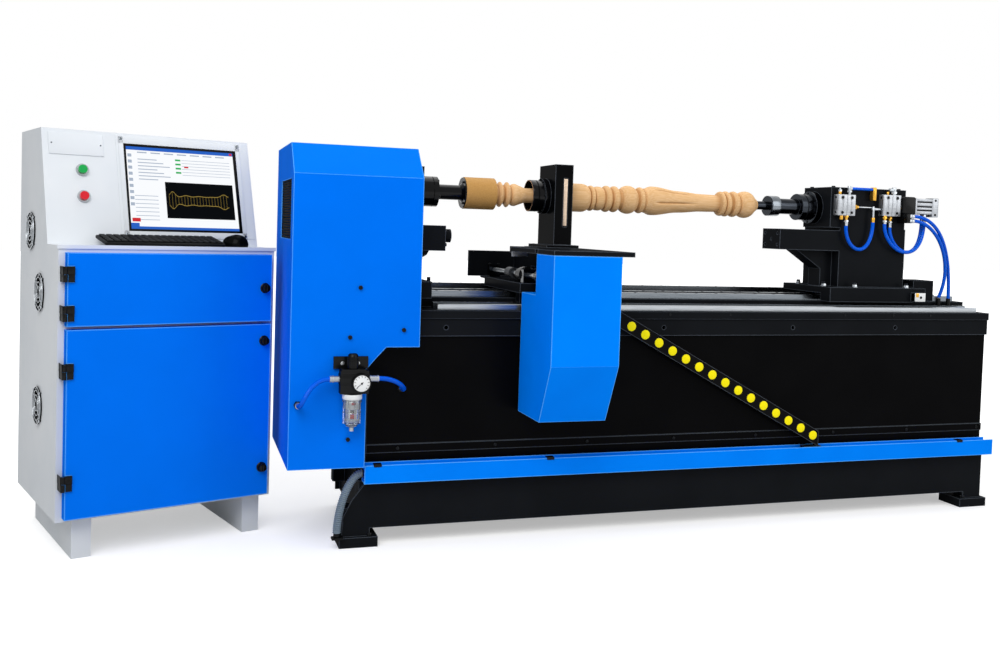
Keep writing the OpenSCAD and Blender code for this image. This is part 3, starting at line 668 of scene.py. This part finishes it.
@dataclass
class AirUnit:
    """The air filter and regulator on the head cover."""

    x: float = 16.0
    y: float = -75.0
    gauge: Pair = (39.0, 526.0)
    pointer: float = -2.3

    def build(self) -> None:
        """Makes the unit's knob, gauge, bowl with its core and guard, and fittings."""
        c = (self.x, self.y)
        knob = Batch("regulator_knob", PLASTIC, "air_knob")
        knob.turned(2, c, [(562.3, 12.5), (568, 13), (569, 17), (600, 16), (608, 14.5), (611.5, 11), (612, 0.5)], 32)
        each(knob.can, *((2, spot, 571, 603, 1.5, 0.5, 8) for spot in circle(18, 16.2, 0, c)))
        knob.done("black_plastic", "air_knob")
        self._gauge()
        bowl = Batch("filter_bowl", CLEAR)
        bowl.turned(2, c, [(479, 24), (479, 27), (425, 24.5), (404, 22), (394, 15), (391, 0.5)], 40, False)
        bowl.turned(2, c, [(478.9, 23.9), (425, 21.5), (406, 19), (398, 12), (396, 0.5)], 40, False)
        bowl.done("clear_bowl", "air_bowl")
        guard = Batch("bowl_guard", CLEAR)
        each(guard.ring, *((2, c, z, r, 1.8) for z, r in ((404, 23.5), (437, 26.6), (470, 28.2))))
        each(guard.can, *((2, spot, 404, 472, 2.0, 0.5, 10) for spot in circle(8, 26, 0.2, c)))
        guard.done("clear_bowl")
        core = Batch("filter_core", WHITE)
        core.turned(2, c, [(479, 17.5), (448, 17.5), (447, 16.5), (447, 0.5)], 32)
        core.turned(2, c, [(493, 24), (491, 29.5), (478, 29.5), (476, 28), (476, 22)], 40)
        each(core.block, *(((x - 1.8, x + 1.8), (-84, -79), (418, 448), 0.5, 1.0) for x in (2, 10, 22, 30)))
        core.can(2, c, 413, 419, 16, 1, 28).done("alu")
        x = (self.x - 3.8, self.x + 3.8)
        Batch("float_slot", PLASTIC).block(x, (-82, -79), (434, 446), 0.4, 0.8).done("black_plastic")
        mark = Batch("filter_float", RED).block(x, (-82, -79), (420, 433), 0.4, 0.8)
        mark.block((12, 21), (-94, -92), (461, 468), 0.4, 0.8).done("red")
        rim = Batch("air_joints", ALU)
        each(rim.can, *((0, (self.y, 536), *ends, 10.5) for ends in ((-44, -40), (-50, -47), (67, 71), (90, 93.5))))
        each(rim.can, *((1, (x, 579), -50, -45.8, 6, 1.5, 20) for x in (-11, 36)))
        rim.done("alu")
        trim = Batch("air_trim", PLASTIC).hex(1, -1, (-140, -40, 455), 12, 8).hex(1, -1, (186, 27, 489), 12, 5)
        trim.block((-24, 64), (-95, -55), (520, 552), 2, 3).can(1, (186, 489), 19.4, 27, 10.8, 0.6)
        trim.done("black_plastic")

    def _gauge(self) -> None:
        """The gauge's case, its white dial and the marks and pointer on it."""
        case = [(-93, 8), (-97, 8), (-97, 27), (-99, 28.5), (-106, 28.5), (-107, 27.5), (-107, 25.5), (-104.5, 25),
                (-104.5, 0.5)]
        Batch("gauge_case", PLASTIC).turned(1, self.gauge, case, 48).done("chrome", "air_gauge")
        Batch("gauge_dial", WHITE).can(1, self.gauge, -105.2, -104.4, 24.5, 0.2, 40).done("chrome")
        marks = Batch("gauge_marks", PLASTIC)
        dots = [(radians(-135 + 27 * k), d, -105.8, 0.9) for k in range(11) for d in (18.5, 20.5, 22.0)]
        dots += [(self.pointer, d, -106.2, 0.8) for d in np.linspace(-5, 18, 24)]
        for a, d, front, r in dots:
            spot = (self.gauge[0] + d * sin(a), self.gauge[1] + d * cos(a))
            marks.can(1, spot, front, -105.1, r, 0.2, 8)
        marks.can(1, self.gauge, -106.4, -105.1, 3, 0.4, 16).done("black_plastic")


@dataclass
class Cabinet:
    """The control cabinet's screen, keys, knobs, fans and hinges."""

    screen: Quad = (243.0, 589.0, 51.0, 321.0)
    fans: tuple[Pair, ...] = ((356.0, 944.0), (226.0, 762.0), (235.0, 419.0))
    hinge: Pair = (12.0, -37.0)

    def build(self) -> None:
        """Makes the cabinet's pieces."""
        self._monitor()
        self._picture()
        self._keys()
        self._fans()
        self._doors()

    def _flat(self, name: str, finish: Finish, boxes: list[Quad], n: float) -> None:
        """Thin tiles on the screen: x and height along the slope of each, at level n.

        Args:
            name: The piece's name.
            finish: Its finish.
            boxes: Lowest x, highest x, lowest and highest distance along the slope.
            n: Level above the panel.
        """
        batch = Batch(name, finish, place=SLOPE)
        each(batch.block, *(((x0, x1), (s0, s1), (n, n + 0.35), 0.1, 0.3) for x0, x1, s0, s1 in boxes))
        batch.done("grey_paint")

    def _monitor(self) -> None:
        """The screen's plate, its frame and their screws."""
        x0, x1, s0, s1 = self.screen
        plate = Batch("monitor_plate", GREY, place=SLOPE)
        for a, b, c, d in ((222, 237, 24, 352), (598, 613, 24, 352), (222, 613, 24, 45), (222, 613, 328, 352)):
            plate.block((a, b), (c, d), (1.5, 4), 0.6, 1.5)
        plate.block((18, 176), (281, 352), (1, 2.4), 0.4, 3).done("grey_paint")
        bezel = Batch("monitor_bezel", PLASTIC, place=SLOPE)
        for a, b, c, d in ((236, x0, 44, 329), (x1, 599, 44, 329), (236, 599, 44, s0), (236, 599, s1, 329)):
            bezel.block((a, b), (c, d), (1.5, 5), 0.6, 1)
        bezel.done("black_plastic")
        screws = Batch("panel_screws", MID_STEEL, place=SLOPE)
        each(screws.screw, *((2, 1, (x, s, 4), 4.5, 2.2) for x in (229, 606) for s in (33, 344)))
        each(screws.screw, *((2, 1, (x, 316, 2.4), 2.5, 1) for x in (26, 168)))
        screws.done("black_plastic")

    def _picture(self) -> None:
        """The picture on the screen: plain bars, fields and a turned outline."""
        x0, x1, s0, s1 = self.screen
        w = x1 - x0
        bars = [(x0, x1, s1 - 11, s1), (x0, x1, s0, s0 + 9), (x0, x0 + 26, s0 + 9, s0 + 20)]
        self._flat("screen_glass", S_WHITE, [(x0, x1, s0, s1)], 1.7)
        self._flat("screen_bars", S_BLUE, bars, 2.1)
        rows = [(x0 + 34 + 42 * i, x0 + 64 + 42 * i, s1 - 20, s1 - 16) for i in range(7)]
        rows += [(x0 + 34, x0 + 94 + 20 * (i % 3), s1 - 42 - 11 * i, s1 - 39 - 11 * i) for i in range(7)]
        rows += [(x0 + 4, x0 + 16, s1 - 34 - 20 * i, s1 - 24 - 20 * i) for i in range(9)]
        rows += [(x0 + 0.50 * w, x0 + 0.96 * w, s1 - 37 - 10 * i, s1 - 35.6 - 10 * i) for i in range(6)]
        rows += [(x0 + 18, x0 + 90, s0 + 30 + 13 * i, s0 + 32 + 13 * i) for i in range(7)]
        self._flat("screen_lines", S_GREY, rows, 2.1)
        self._flat("screen_preview", S_BLACK, [(x0 + 0.33 * w, x1 - 10, s0 + 38, s0 + 158)], 2.1)
        green = [(x0 + 0.44 * w, x0 + 0.49 * w, s1 - 40 - 14 * i, s1 - 34 - 14 * i) for i in range(4)]
        self._flat("screen_green", S_GREEN, green, 2.5)
        red = [(x0 + 5, x0 + 30, s0 + 24, s0 + 36), (x1 - 12, x1 - 3, s1 - 9, s1 - 2),
               (x0 + 0.52 * w, x0 + 0.56 * w, s1 - 62, s1 - 57)]
        self._flat("screen_red", S_RED, red, 2.5)
        t = np.linspace(0, 1, 60)
        half = 15 + 10 * np.exp(-(((t - 0.06) / 0.05) ** 2)) + 10 * np.exp(-(((t - 0.92) / 0.07) ** 2))
        half += 4 * np.sin(t * 28) * (1 - t) ** 2
        outline = Batch("screen_outline", S_YELLOW, place=SLOPE)
        x = x0 + 0.36 * w + t * (0.56 * w)
        mid = s0 + 98
        for sign in (1, -1):
            s = (mid + sign * half)[:, None] + np.array([-0.9, -0.9, 0.9, 0.9])
            outline.loft(lay(0, x[:, None], s, np.array([2.5, 2.9, 2.9, 2.5])))
        for k in range(0, 60, 3):
            outline.block((x[k] - 0.3, x[k] + 0.3), (mid - half[k], mid + half[k]), (2.5, 2.8), 0.1, 0.15)
        outline.done("grey_paint")

    def _keys(self) -> None:
        """The keyboard and mouse on the shelf."""
        tilt = CABINET.inner(turn_about(0, radians(9)), (0.0, 8.0, SHELF_Z))
        keys = Batch("keyboard_case", PLASTIC, place=tilt).block((130, 490), (0, 122), (1, 11), 3, 6)
        for y in range(8, 118, 22):
            for x in np.arange(17) * 20.5 + 138:
                keys.block((x, x + 17), (y, y + 18), (10, 15.5), 1.4, 2)
        keys.done("black_plastic", "keyboard_mouse")
        m = np.linspace(0, pi / 2, 10)
        a = around(32)
        # The mouse is a flattened dome: an ellipse drawn in as a quarter circle rises.
        size = np.r_[0.95, np.cos(m) ** 0.55, 0.001][:, None]
        height = np.r_[0, 8 + 29 * np.sin(m) ** 1.2, 37.0][:, None]
        dome = lay(2, 910.2 + height * (1 - 0.1 * np.sin(a)), 540 + 39.5 * size * np.cos(a), 60 + 47 * size * np.sin(a))
        Batch("mouse", POST, place=CABINET).loft(dome).done("black_plastic")

    def _fans(self) -> None:
        """Round wire guards with their spokes and screws."""
        wire = Batch("guard_wires", STEEL, place=CABINET)
        a = around(10)
        reach = np.array([[9.0], [41.0]])
        for y, z in self.fans:
            each(wire.ring, *((0, (y, z), -5.6, r, 1.1, 48) for r in (17, 31, 45, 57)))
            for sy, sz in ((-1, -1), (-1, 1), (1, -1), (1, 1)):
                wire.screw(0, -1, (-4.5, y + sy * 41.4, z + sz * 41.4), 4.5, 3)
                wire.loft(lay(0, -4.0 + 1.3 * np.cos(a), y + sy * reach + 0.91 * sz * np.sin(a),
                              z + sz * reach - 0.91 * sy * np.sin(a)))
        wire.done("black_plastic")

    def _doors(self) -> None:
        """Hinge barrels and leaves, and the latches with their tongues."""
        for door, zs in (("upper_door", (830, 719)), ("lower_door", (555, 236))):
            leaf = Batch(f"{door}_hinges", PLASTIC, door, CABINET)
            for z in zs:
                leaf.can(2, self.hinge, z + 0.3, z + 22, 5.6, 0.8, 20).screw(1, -1, (27, -40, z + 11), 3, 1.2)
                leaf.block((12, 37), (-40, -31.8), (z, z + 22.3), 1, 2)
                leaf.block((18.5, 37), (-38, -31.8), (z - 22.3, z + 1), 0.6, 2)
            leaf.done("black_plastic")
        base = Batch("cabinet_hinges", PLASTIC, place=CABINET)
        for z in (830, 719, 555, 236):
            base.can(2, self.hinge, z - 22.3, z - 0.3, 5.6, 0.8, 20)
            base.block((5, 12), (-41, 0), (z - 22.3, z - 0.2), 1, 2)
            base.block((4.6, 6.5), (-38, 0), (z - 1, z + 22.3), 0.6, 2)
        base.done("black_plastic", "body_hinges")
        for latch, z in (("upper_latch", 786), ("middle_latch", 620), ("lower_latch", 218)):
            knob = Batch(f"{latch}_knob", PLASTIC, latch, CABINET)
            knob.turned(1, (604, z), [(-32.1, 15.5), (-34, 16), (-36, 13.5), (-44, 13), (-49, 12), (-50, 10),
                                      (-50, 0.5)], 36)
            knob.block((601.5, 606.5), (-54, -49), (z - 10, z + 10), 1.2, 2).can(1, (604, z), -33, 7, 6, 0.5, 20)
            knob.block((597, 611), (3.5, 6.5), (z - 26, z), 0.5, 3).done("black_plastic", latch)


@dataclass
class Carriage:
    """Details of the carriage: yellow discs, post screws, blade and screw drive."""

    discs: int = 15
    cross_screw: Pair = (600.0, 848.0)
    lead: float = 10.0

    def build(self) -> None:
        """Makes the carriage's pieces."""
        dots = Batch("marker_discs", YELLOW, "carriage")
        for x in 947 + np.arange(self.discs) * 719 / (self.discs - 1):
            dots.can(1, (x, 687 - 0.537 * (x - 947)), -19.4, -17, 15.6, 0.5, 32)
        dots.done("black_paint")
        bolts = Batch("post_screws", DARK_STEEL, "carriage")
        each(bolts.can, *((2, (x, y), 947, 947.6, 4.5, 0.2, 16) for x in (704, 796) for y in (132, 294)))
        each(bolts.screw, *((0, -1, (700, *spot), 2.6) for spot in circle(6, 57)))
        plate = ((585, -250), (815, -250), (585, 100), (815, 100), (815, 300))
        each(bolts.can, *((2, spot, 937, 937.6, 6, 0.2, 20) for spot in plate))
        each(bolts.screw, *((1, -1, (x, -1, z), 4) for z in (450, 560, 670, 760) for x in (580, 780)))
        bolts.done("black_steel_fastener")
        rim = Batch("ring_rim", BRONZE, "carriage")
        rim.turned(0, AXIS, [(656.4, 51.4), (656.4, 52.8), (658, 53.2), (664, 51.5)], 64, False).done("dark_steel")
        sleeve = Batch("ring_sleeve", JAPAN, "carriage")
        sleeve.turned(0, AXIS, [(656.8, 51.4), (656.8, 53.4), (658, 54.2), (676, 54.2), (677, 52.8), (680, 52.8),
                                (681, 54.2), (699, 54.2)], 64, False)
        sleeve.turned(0, AXIS, [(700, 54), (700, 59), (701, 60.2), (718, 60.2), (718.9, 59.5)], 64, False)
        sleeve.done("dark_steel")
        Batch("cutter_blade", COPPER, "tool_slide").block((750.5, 763.5), (133, 141), (1012, 1170), 0.8, 2).done("cast")
        self._cross_drive()
        Batch("top_tab", ALU, "carriage").block((572, 630), (134, 136), (905, 937), 0.5, 2).done("steel")

    def _cross_drive(self) -> None:
        """The cross screw's thread and coupling, and the drive around it."""
        c = self.cross_screw
        drive = Batch("screw_drive_parts", DARK_STEEL, "carriage")
        drive.block((573, 627), (-128, -118.2), (821, 875), 2, 4)
        for y0, y1, r in ((56, 60, 21), (60, 82, 26), (84, 100, 24), (100, 124, 19)):
            drive.turned(1, c, [(y0, 9.8), (y0, r - 1), (y0 + 1, r), (y1 - 1, r), (y1, r - 1), (y1, 9.8)], 40, False)
        each(drive.screw, *((2, 1, (x, y, 866), 4) for x in (584, 616) for y in (44, 416)))
        drive.done("alu")
        coupling = Batch("screw_coupling", CHROME, "y_screw")
        coupling.turned(1, c, [(-80, 8), (-80, 15), (-66, 15.5), (-65, 13.5), (-63, 13.5), (-62, 15.5), (-58, 15.5),
                               (-57, 13.5), (-55, 13.5), (-54, 15.5), (-41, 15), (-40, 8)], 32)
        y = np.arange(60, 404, 1.25)[:, None]
        a = around(20)
        # The thread is a radius that rises and falls once in every lead.
        r = 7.6 + 0.9 * np.cos(FULL_TURN * y / self.lead - a)
        coupling.loft(lay(1, y, c[0] + r * np.cos(a), c[1] + r * np.sin(a))).done("steel")
        bits = Batch("screw_drive_brass", BRASS, "carriage")
        for y0, y1, r in ((82, 84, 25), (124, 130, 14)):
            bits.turned(1, c, [(y0, 9.9), (y0, r), (y1, r), (y1, 9.9)], 32, False)
        bits.done("alu")


@dataclass
class Tailstock:
    """Air cylinders, fittings and bolts on the tailstock."""

    def build(self) -> None:
        """Makes the tailstock's pieces."""
        self._cylinders()
        self._fittings()
        cover = Batch("small_valve", WHITE, "tailstock").block((2142, 2191), (61, 83), (772, 804), 1.5, 3)
        cover.done("alu")
        bolts = Batch("tailstock_bolts", DARK_STEEL, "tailstock")
        each(bolts.screw, *((2, 1, (x, 365, 820), 8) for x in (1900, 2129)))
        each(bolts.screw, *((2, 1, (x, y, 1188), 7, 5) for y in (140, 272) for x in (1820, 2110)))
        each(bolts.screw, *((0, -1, (1775, *spot), 3) for spot in circle(6, 54.5, 0.5)))
        bolts.can(1, (2169, 787), 59.6, 62, 5, 0.5, 16).done("black_steel_fastener")
        nose = Batch("nose_ring", CHROME, "tailstock")
        nose.turned(0, AXIS, [(1721.6, 31), (1721.6, 47.5), (1723, 49.3), (1744, 49.3), (1745, 47.6), (1748, 47.6),
                              (1749, 49.3), (1775.5, 49.3)], 64, False)
        nose.turned(0, AXIS, [(1774.8, 49), (1774.8, 58), (1776, 60.3), (1799, 60.3)], 64, False).done("dark_steel")
        band = Batch("centre_band", MID_STEEL, "live_centre")
        band.turned(0, AXIS, [(1602, 36.9), (1602.6, 37.5), (1636, 37.5), (1637, 36.9)], 56, False).done("steel")

    def _cylinders(self) -> None:
        """The clamp cylinders and the valve block, with their screws, slots and dark parts."""
        body = Batch("clamp_cylinders", ALU, "tailstock")
        dark = Batch("cylinder_screws", PLASTIC, "tailstock")
        for x0, x1, z0, z1 in ((1811, 1888, 1084, 1161), (2009, 2089, 1088, 1167)):
            wide = x1 - x0
            body.block((x0, x1), (97, 123), (z0, z1), 1.2, 2.5, 1)
            for x in (x0 + f * wide for f in (0.03, 0.3, 0.52, 0.76)):
                body.block((x, x + 0.2 * wide), (95.8, 98), (z0 + 1.5, z1 - 1.5), 0.5, 1)
            for z in (z0 + 11, z1 - 11):
                for x in (x0 + 0.26 * wide, x0 + 0.78 * wide):
                    dark.can(1, (x, z), 94.8, 96.6, 5.2, 0.4, 20)
                    body.ring(1, (x, z), 95.8, 6.6, 1.1, 24)
                dark.can(0, (109, z), x0 - 0.8, x0 + 1, 4.6, 0.4, 20)
            for y in (102, 114):
                dark.block((x0 - 0.5, x0 + 1), (y - 1, y + 1), (z0 + 20, z1 - 20), 0.3, 0.5)
        for z in ((1100, 1112), (1117, 1126), (1131, 1143), (1148, 1158)):
            body.block((2157, 2227), (90.5, 128), z, 0.8, 2, 0)
        body.block((2226, 2254), (90, 130), (1090, 1162), 1.2, 3, 0)
        body.block((2150, 2158), (91, 126), (1098, 1160), 1, 2, 0).done("alu", "tail_valves")
        each(dark.can, *((1, (2240, z), 89.2, 91, 4.6, 0.4, 20) for z in (1099, 1153)))
        dark.block((2092, 2151), (90, 123), (1097, 1163), 3, 8, 1)
        dark.block((2158, 2226), (94, 126), (1099, 1158), 0.5, 1, 0)
        dark.block((2094, 2110), (66, 123), (1064, 1098), 1.5, 3).done("black_plastic")

    def _fittings(self) -> None:
        """The silver and brass fittings of the hoses and pipes, and the nuts on the base plate."""
        silver = Batch("silver_fittings", STEEL, "tailstock")
        brass = Batch("brass_fittings", BRASS, "tailstock")
        for x, y, z0, z1 in ((1855, 104, 1046, 1068), (2022, 101, 1058, 1072), (2056, 114.5, 1046, 1070)):
            silver.can(2, (x, y), z0, z1, 7, 1, 20).hex(2, 1, (x, y, z1 - 7), 8.5, 6)
            brass.can(2, (x, y), z1 - 1, 1089, 6, 0.8, 20).hex(2, 1, (x, y, 1078), 8, 7)
        for z in (1073, 1090):
            silver.can(0, (78, z), 2109, 2133, 8, 1.2, 24).ring(0, (78, z), 2121, 8, 1, 24)
        for spot in ((1803, 150), (1803, 310), (1900, 98), (2129, 98)):
            silver.can(2, spot, 820, 822.5, 11, 0.5, 28).hex(2, 1, (*spot, 822), 9, 8)
            silver.can(2, spot, 829, 836, 5.5, 0.8, 16)
        each(silver.can,
             (2, (2200, 101), 1068, 1099, 6.8, 1, 20), (2, (2200, 114.5), 1068, 1099, 6.8, 1, 20),
             (2, (1826, 108), 1178, 1185, 3, 0.8, 16), (2, (1864, 104), 1160, 1178, 5.5, 0.8, 20),
             (2, (1864, 104), 1175, 1193, 8, 1.2, 24), (0, (104, 1184), 1862, 1873, 7, 0.8, 20),
             (0, (107, 1117), 1904, 1968, 2.6, 0.6, 16), (2, (1972, 104), 1078, 1121, 4.5, 0.8, 16),
             (0, (108, 1112), 1966, 2009, 5, 0.8, 20), (2, (2062, 106), 1166, 1196, 8, 1.5, 24),
             (0, (106, 1186), 2040, 2056, 6, 0.8, 20))
        silver.hex(2, 1, (1826, 108, 1171), 6.5, 8).hex(2, 1, (1864, 104, 1170), 9, 6)
        silver.hex(2, 1, (2062, 106, 1172), 11, 8).done("alu")
        each(brass.can,
             (2, (1826, 108), 1160, 1172, 6, 0.8, 20), (2, (1834, 106), 1069, 1085, 7, 1, 20),
             (0, (106, 1117), 1896, 1906, 6, 1, 20), (2, (1972, 104), 1062, 1080, 7, 1, 20),
             (0, (104, 1118), 2089, 2097, 5, 0.8, 20), (2, (2036, 108), 1166, 1178, 5, 0.8, 20))
        brass.block((1965, 1981), (97, 122), (1143, 1192), 3, 6).hex(0, 1, (1889, 106, 1117), 9, 9)
        brass.block((2146, 2160), (60, 70), (788, 803), 1, 2).done("alu")


HOSES: tuple[Hose, ...] = (
    Hose("air_hose_left", ((-52, -75, 536), (-120, -75, 536), (-140, -150, 455), (-140, -60, 455)), 7,
         "bed", "air_hoses"),
    Hose("air_hose_right", ((95, -75, 536), (165, -75, 536), (186, -70, 489), (186, 20, 489)), 7, "bed", "air_hoses"),
    Hose("cable_conduit", ((66, 2, 232), (28, 2, 232), (-8, 2, 130), (-8, 2, 50)), 12, "bed", "conduit", CONDUIT, True),
    *(Hose(f"clamp_hose_{name}", points, radius, "tailstock", "tail_hoses") for name, radius, points in (
        ("a", 6.5, ((1855, 104, 1046), (1855, 104, 945), (1972, 104, 915), (1972, 104, 1062))),
        ("b", 6.5, ((2022, 101, 1058), (2022, 101, 955), (2200, 101, 885), (2200, 101, 1068))),
        ("c", 6.5, ((2056, 114.5, 1046), (2056, 114.5, 960), (2200, 114.5, 885), (2200, 114.5, 1068))),
        ("top", 5, ((1872, 104, 1184), (1903, 104, 1184), (1933, 104, 1184), (1964, 104, 1184))))),
)
FEEDS: tuple[Hose, ...] = tuple(
    Hose(f"feed_hose_{name}", points, 6.5, "", "tail_feed") for name, points in (
        ("upper", ((2133, 78, 1090), (2262, 78, 1090), (2362, 137, 960), (2362, 137, 780))),
        ("lower", ((2133, 78, 1073), (2250, 78, 1073), (2362, 112, 915), (2316, 137, 784)))))


@dataclass
class Studio:
    """Floor, light and the camera at the photograph's place."""

    eye: Triple = (-488.79, -3041.48, 1000.0)
    yaw: float = 0.3112
    pitch: float = 0.0407
    roll: float = 0.0319
    focal_px: float = 1006.74
    rise_px: float = 67.1
    width_px: float = 1000.0
    sensor_mm: float = 36.0

    def camera(self) -> None:
        """Sets the camera: looks yaw right of +Y and pitch down, then rolls; the picture is 1000 wide."""
        y, p = self.yaw, self.pitch
        fwd = Vector((sin(y) * cos(p), cos(y) * cos(p), -sin(p)))
        right = Vector((cos(y), -sin(y), 0))
        up = right.cross(fwd)
        turn = Matrix((right, up, -fwd)).transposed() @ Matrix.Rotation(self.roll, 3, "Z")
        data = bpy.data.cameras.new("Camera")
        data.sensor_width = self.sensor_mm
        data.lens = self.focal_px * self.sensor_mm / self.width_px
        data.shift_y = -self.rise_px / self.width_px
        data.clip_end = 60
        cam = bpy.data.objects.new("Camera", data)
        place = LATHE.to_world(np.array([self.eye]))[0]
        cam.matrix_world = Matrix.Translation(Vector(place)) @ turn.to_4x4()
        put(cam)
        bpy.context.scene.camera = cam

    @staticmethod
    def _seen(tree: NodeTree) -> NodeSocket:
        """One where the camera sees a surface straight, in a mirror or through glass, and nought elsewhere."""
        rays = add_node(tree, "LightPath").outputs
        largest = {"operation": "MAXIMUM"}
        near = add_node(tree, "Math", largest, _0=rays["Is Camera Ray"], _1=rays["Is Glossy Ray"])
        every = add_node(tree, "Math", largest, _0=near.outputs[0], _1=rays["Is Transmission Ray"])
        return every.outputs[0]

    def floor(self) -> None:
        """A pale floor whose colour shows white to the camera and keeps the shadow."""
        mesh = bpy.data.meshes.new("floor")
        mesh.from_pydata([(-25, -25, 0), (25, -25, 0), (25, 25, 0), (-25, 25, 0)], [], [(0, 1, 2, 3)])
        obj = bpy.data.objects.new("floor", mesh)
        put(obj)
        mat = bpy.data.materials.new("Pale_floor")
        mat.use_nodes = True
        tree = mat.node_tree
        tree.nodes.clear()
        spot = add_node(tree, "TexCoord").outputs["Object"]
        away = add_node(tree, "VectorMath", {"operation": "LENGTH"}, _0=spot)
        rise = add_node(tree, "MapRange", Value=away.outputs["Value"], From_Min=2.0, From_Max=4.5,
                        To_Min=0.42, To_Max=1.1)
        glow = add_node(tree, "Emission", Color=PAPER_WHITE, Strength=rise.outputs["Result"])
        matt = add_node(tree, "BsdfDiffuse", Color=(0.8, 0.8, 0.8, 1))
        both = add_node(tree, "AddShader", _0=matt.outputs[0], _1=glow.outputs[0])
        # Towards the lathe the floor is greyer, so that surfaces facing down stay dark.
        bounce = add_node(tree, "BsdfDiffuse", Color=(0.62, 0.62, 0.62, 1))
        mix = add_node(tree, "MixShader", Fac=self._seen(tree), _1=bounce.outputs[0], _2=both.outputs[0])
        add_node(tree, "OutputMaterial", Surface=mix.outputs[0])
        mesh.materials.append(mat)

    def light(self) -> None:
        """Soft light from above left, a fill from the right and a white world."""
        world = bpy.data.worlds.new("World")
        bpy.context.scene.world = world
        world.use_nodes = True
        tree = world.node_tree
        tree.nodes.clear()
        soft = add_node(tree, "Background", Color=PAPER_WHITE, Strength=0.44)
        white = add_node(tree, "Background", Color=PAPER_WHITE, Strength=1.0)
        mix = add_node(tree, "MixShader", Fac=self._seen(tree), _1=soft.outputs[0], _2=white.outputs[0])
        add_node(tree, "OutputWorld", Surface=mix.outputs[0])
        for name, spot, aim, size, power in (("key", (-2.6, -3.2, 3.6), (0, 0, 0.6), 3.0, 138.0),
                                             ("fill", (3.4, -3.0, 2.6), (0.3, 0, 0.7), 3.0, 66.0),
                                             ("top", (0.2, 1.0, 4.0), (0, 0, 0.8), 3.5, 76.0)):
            data = bpy.data.lights.new(name, "AREA")
            data.size = size
            data.energy = power
            lamp = bpy.data.objects.new(name, data)
            lamp.location = spot
            lamp.rotation_euler = (Vector(aim) - Vector(spot)).to_track_quat("-Z", "Y").to_euler()
            put(lamp)
        bpy.context.scene.view_settings.view_transform = "Standard"


def main() -> None:
    """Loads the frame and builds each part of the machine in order."""
    logging.basicConfig(level=logging.INFO, format="%(name)s: %(message)s")
    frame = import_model()
    studio = Studio()
    studio.camera()
    for hose in HOSES:
        hose.build()
    for hose in FEEDS:
        feed = hose.build()
        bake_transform(feed)
    dress_cad(frame)
    for part in (Bed(), Work(), Headstock(), AirUnit(), Cabinet(), Carriage(), Tailstock()):
        part.build()
        LOG.info("built %s", type(part).__name__)
    studio.floor()
    studio.light()


if __name__ == "__main__":
    main()
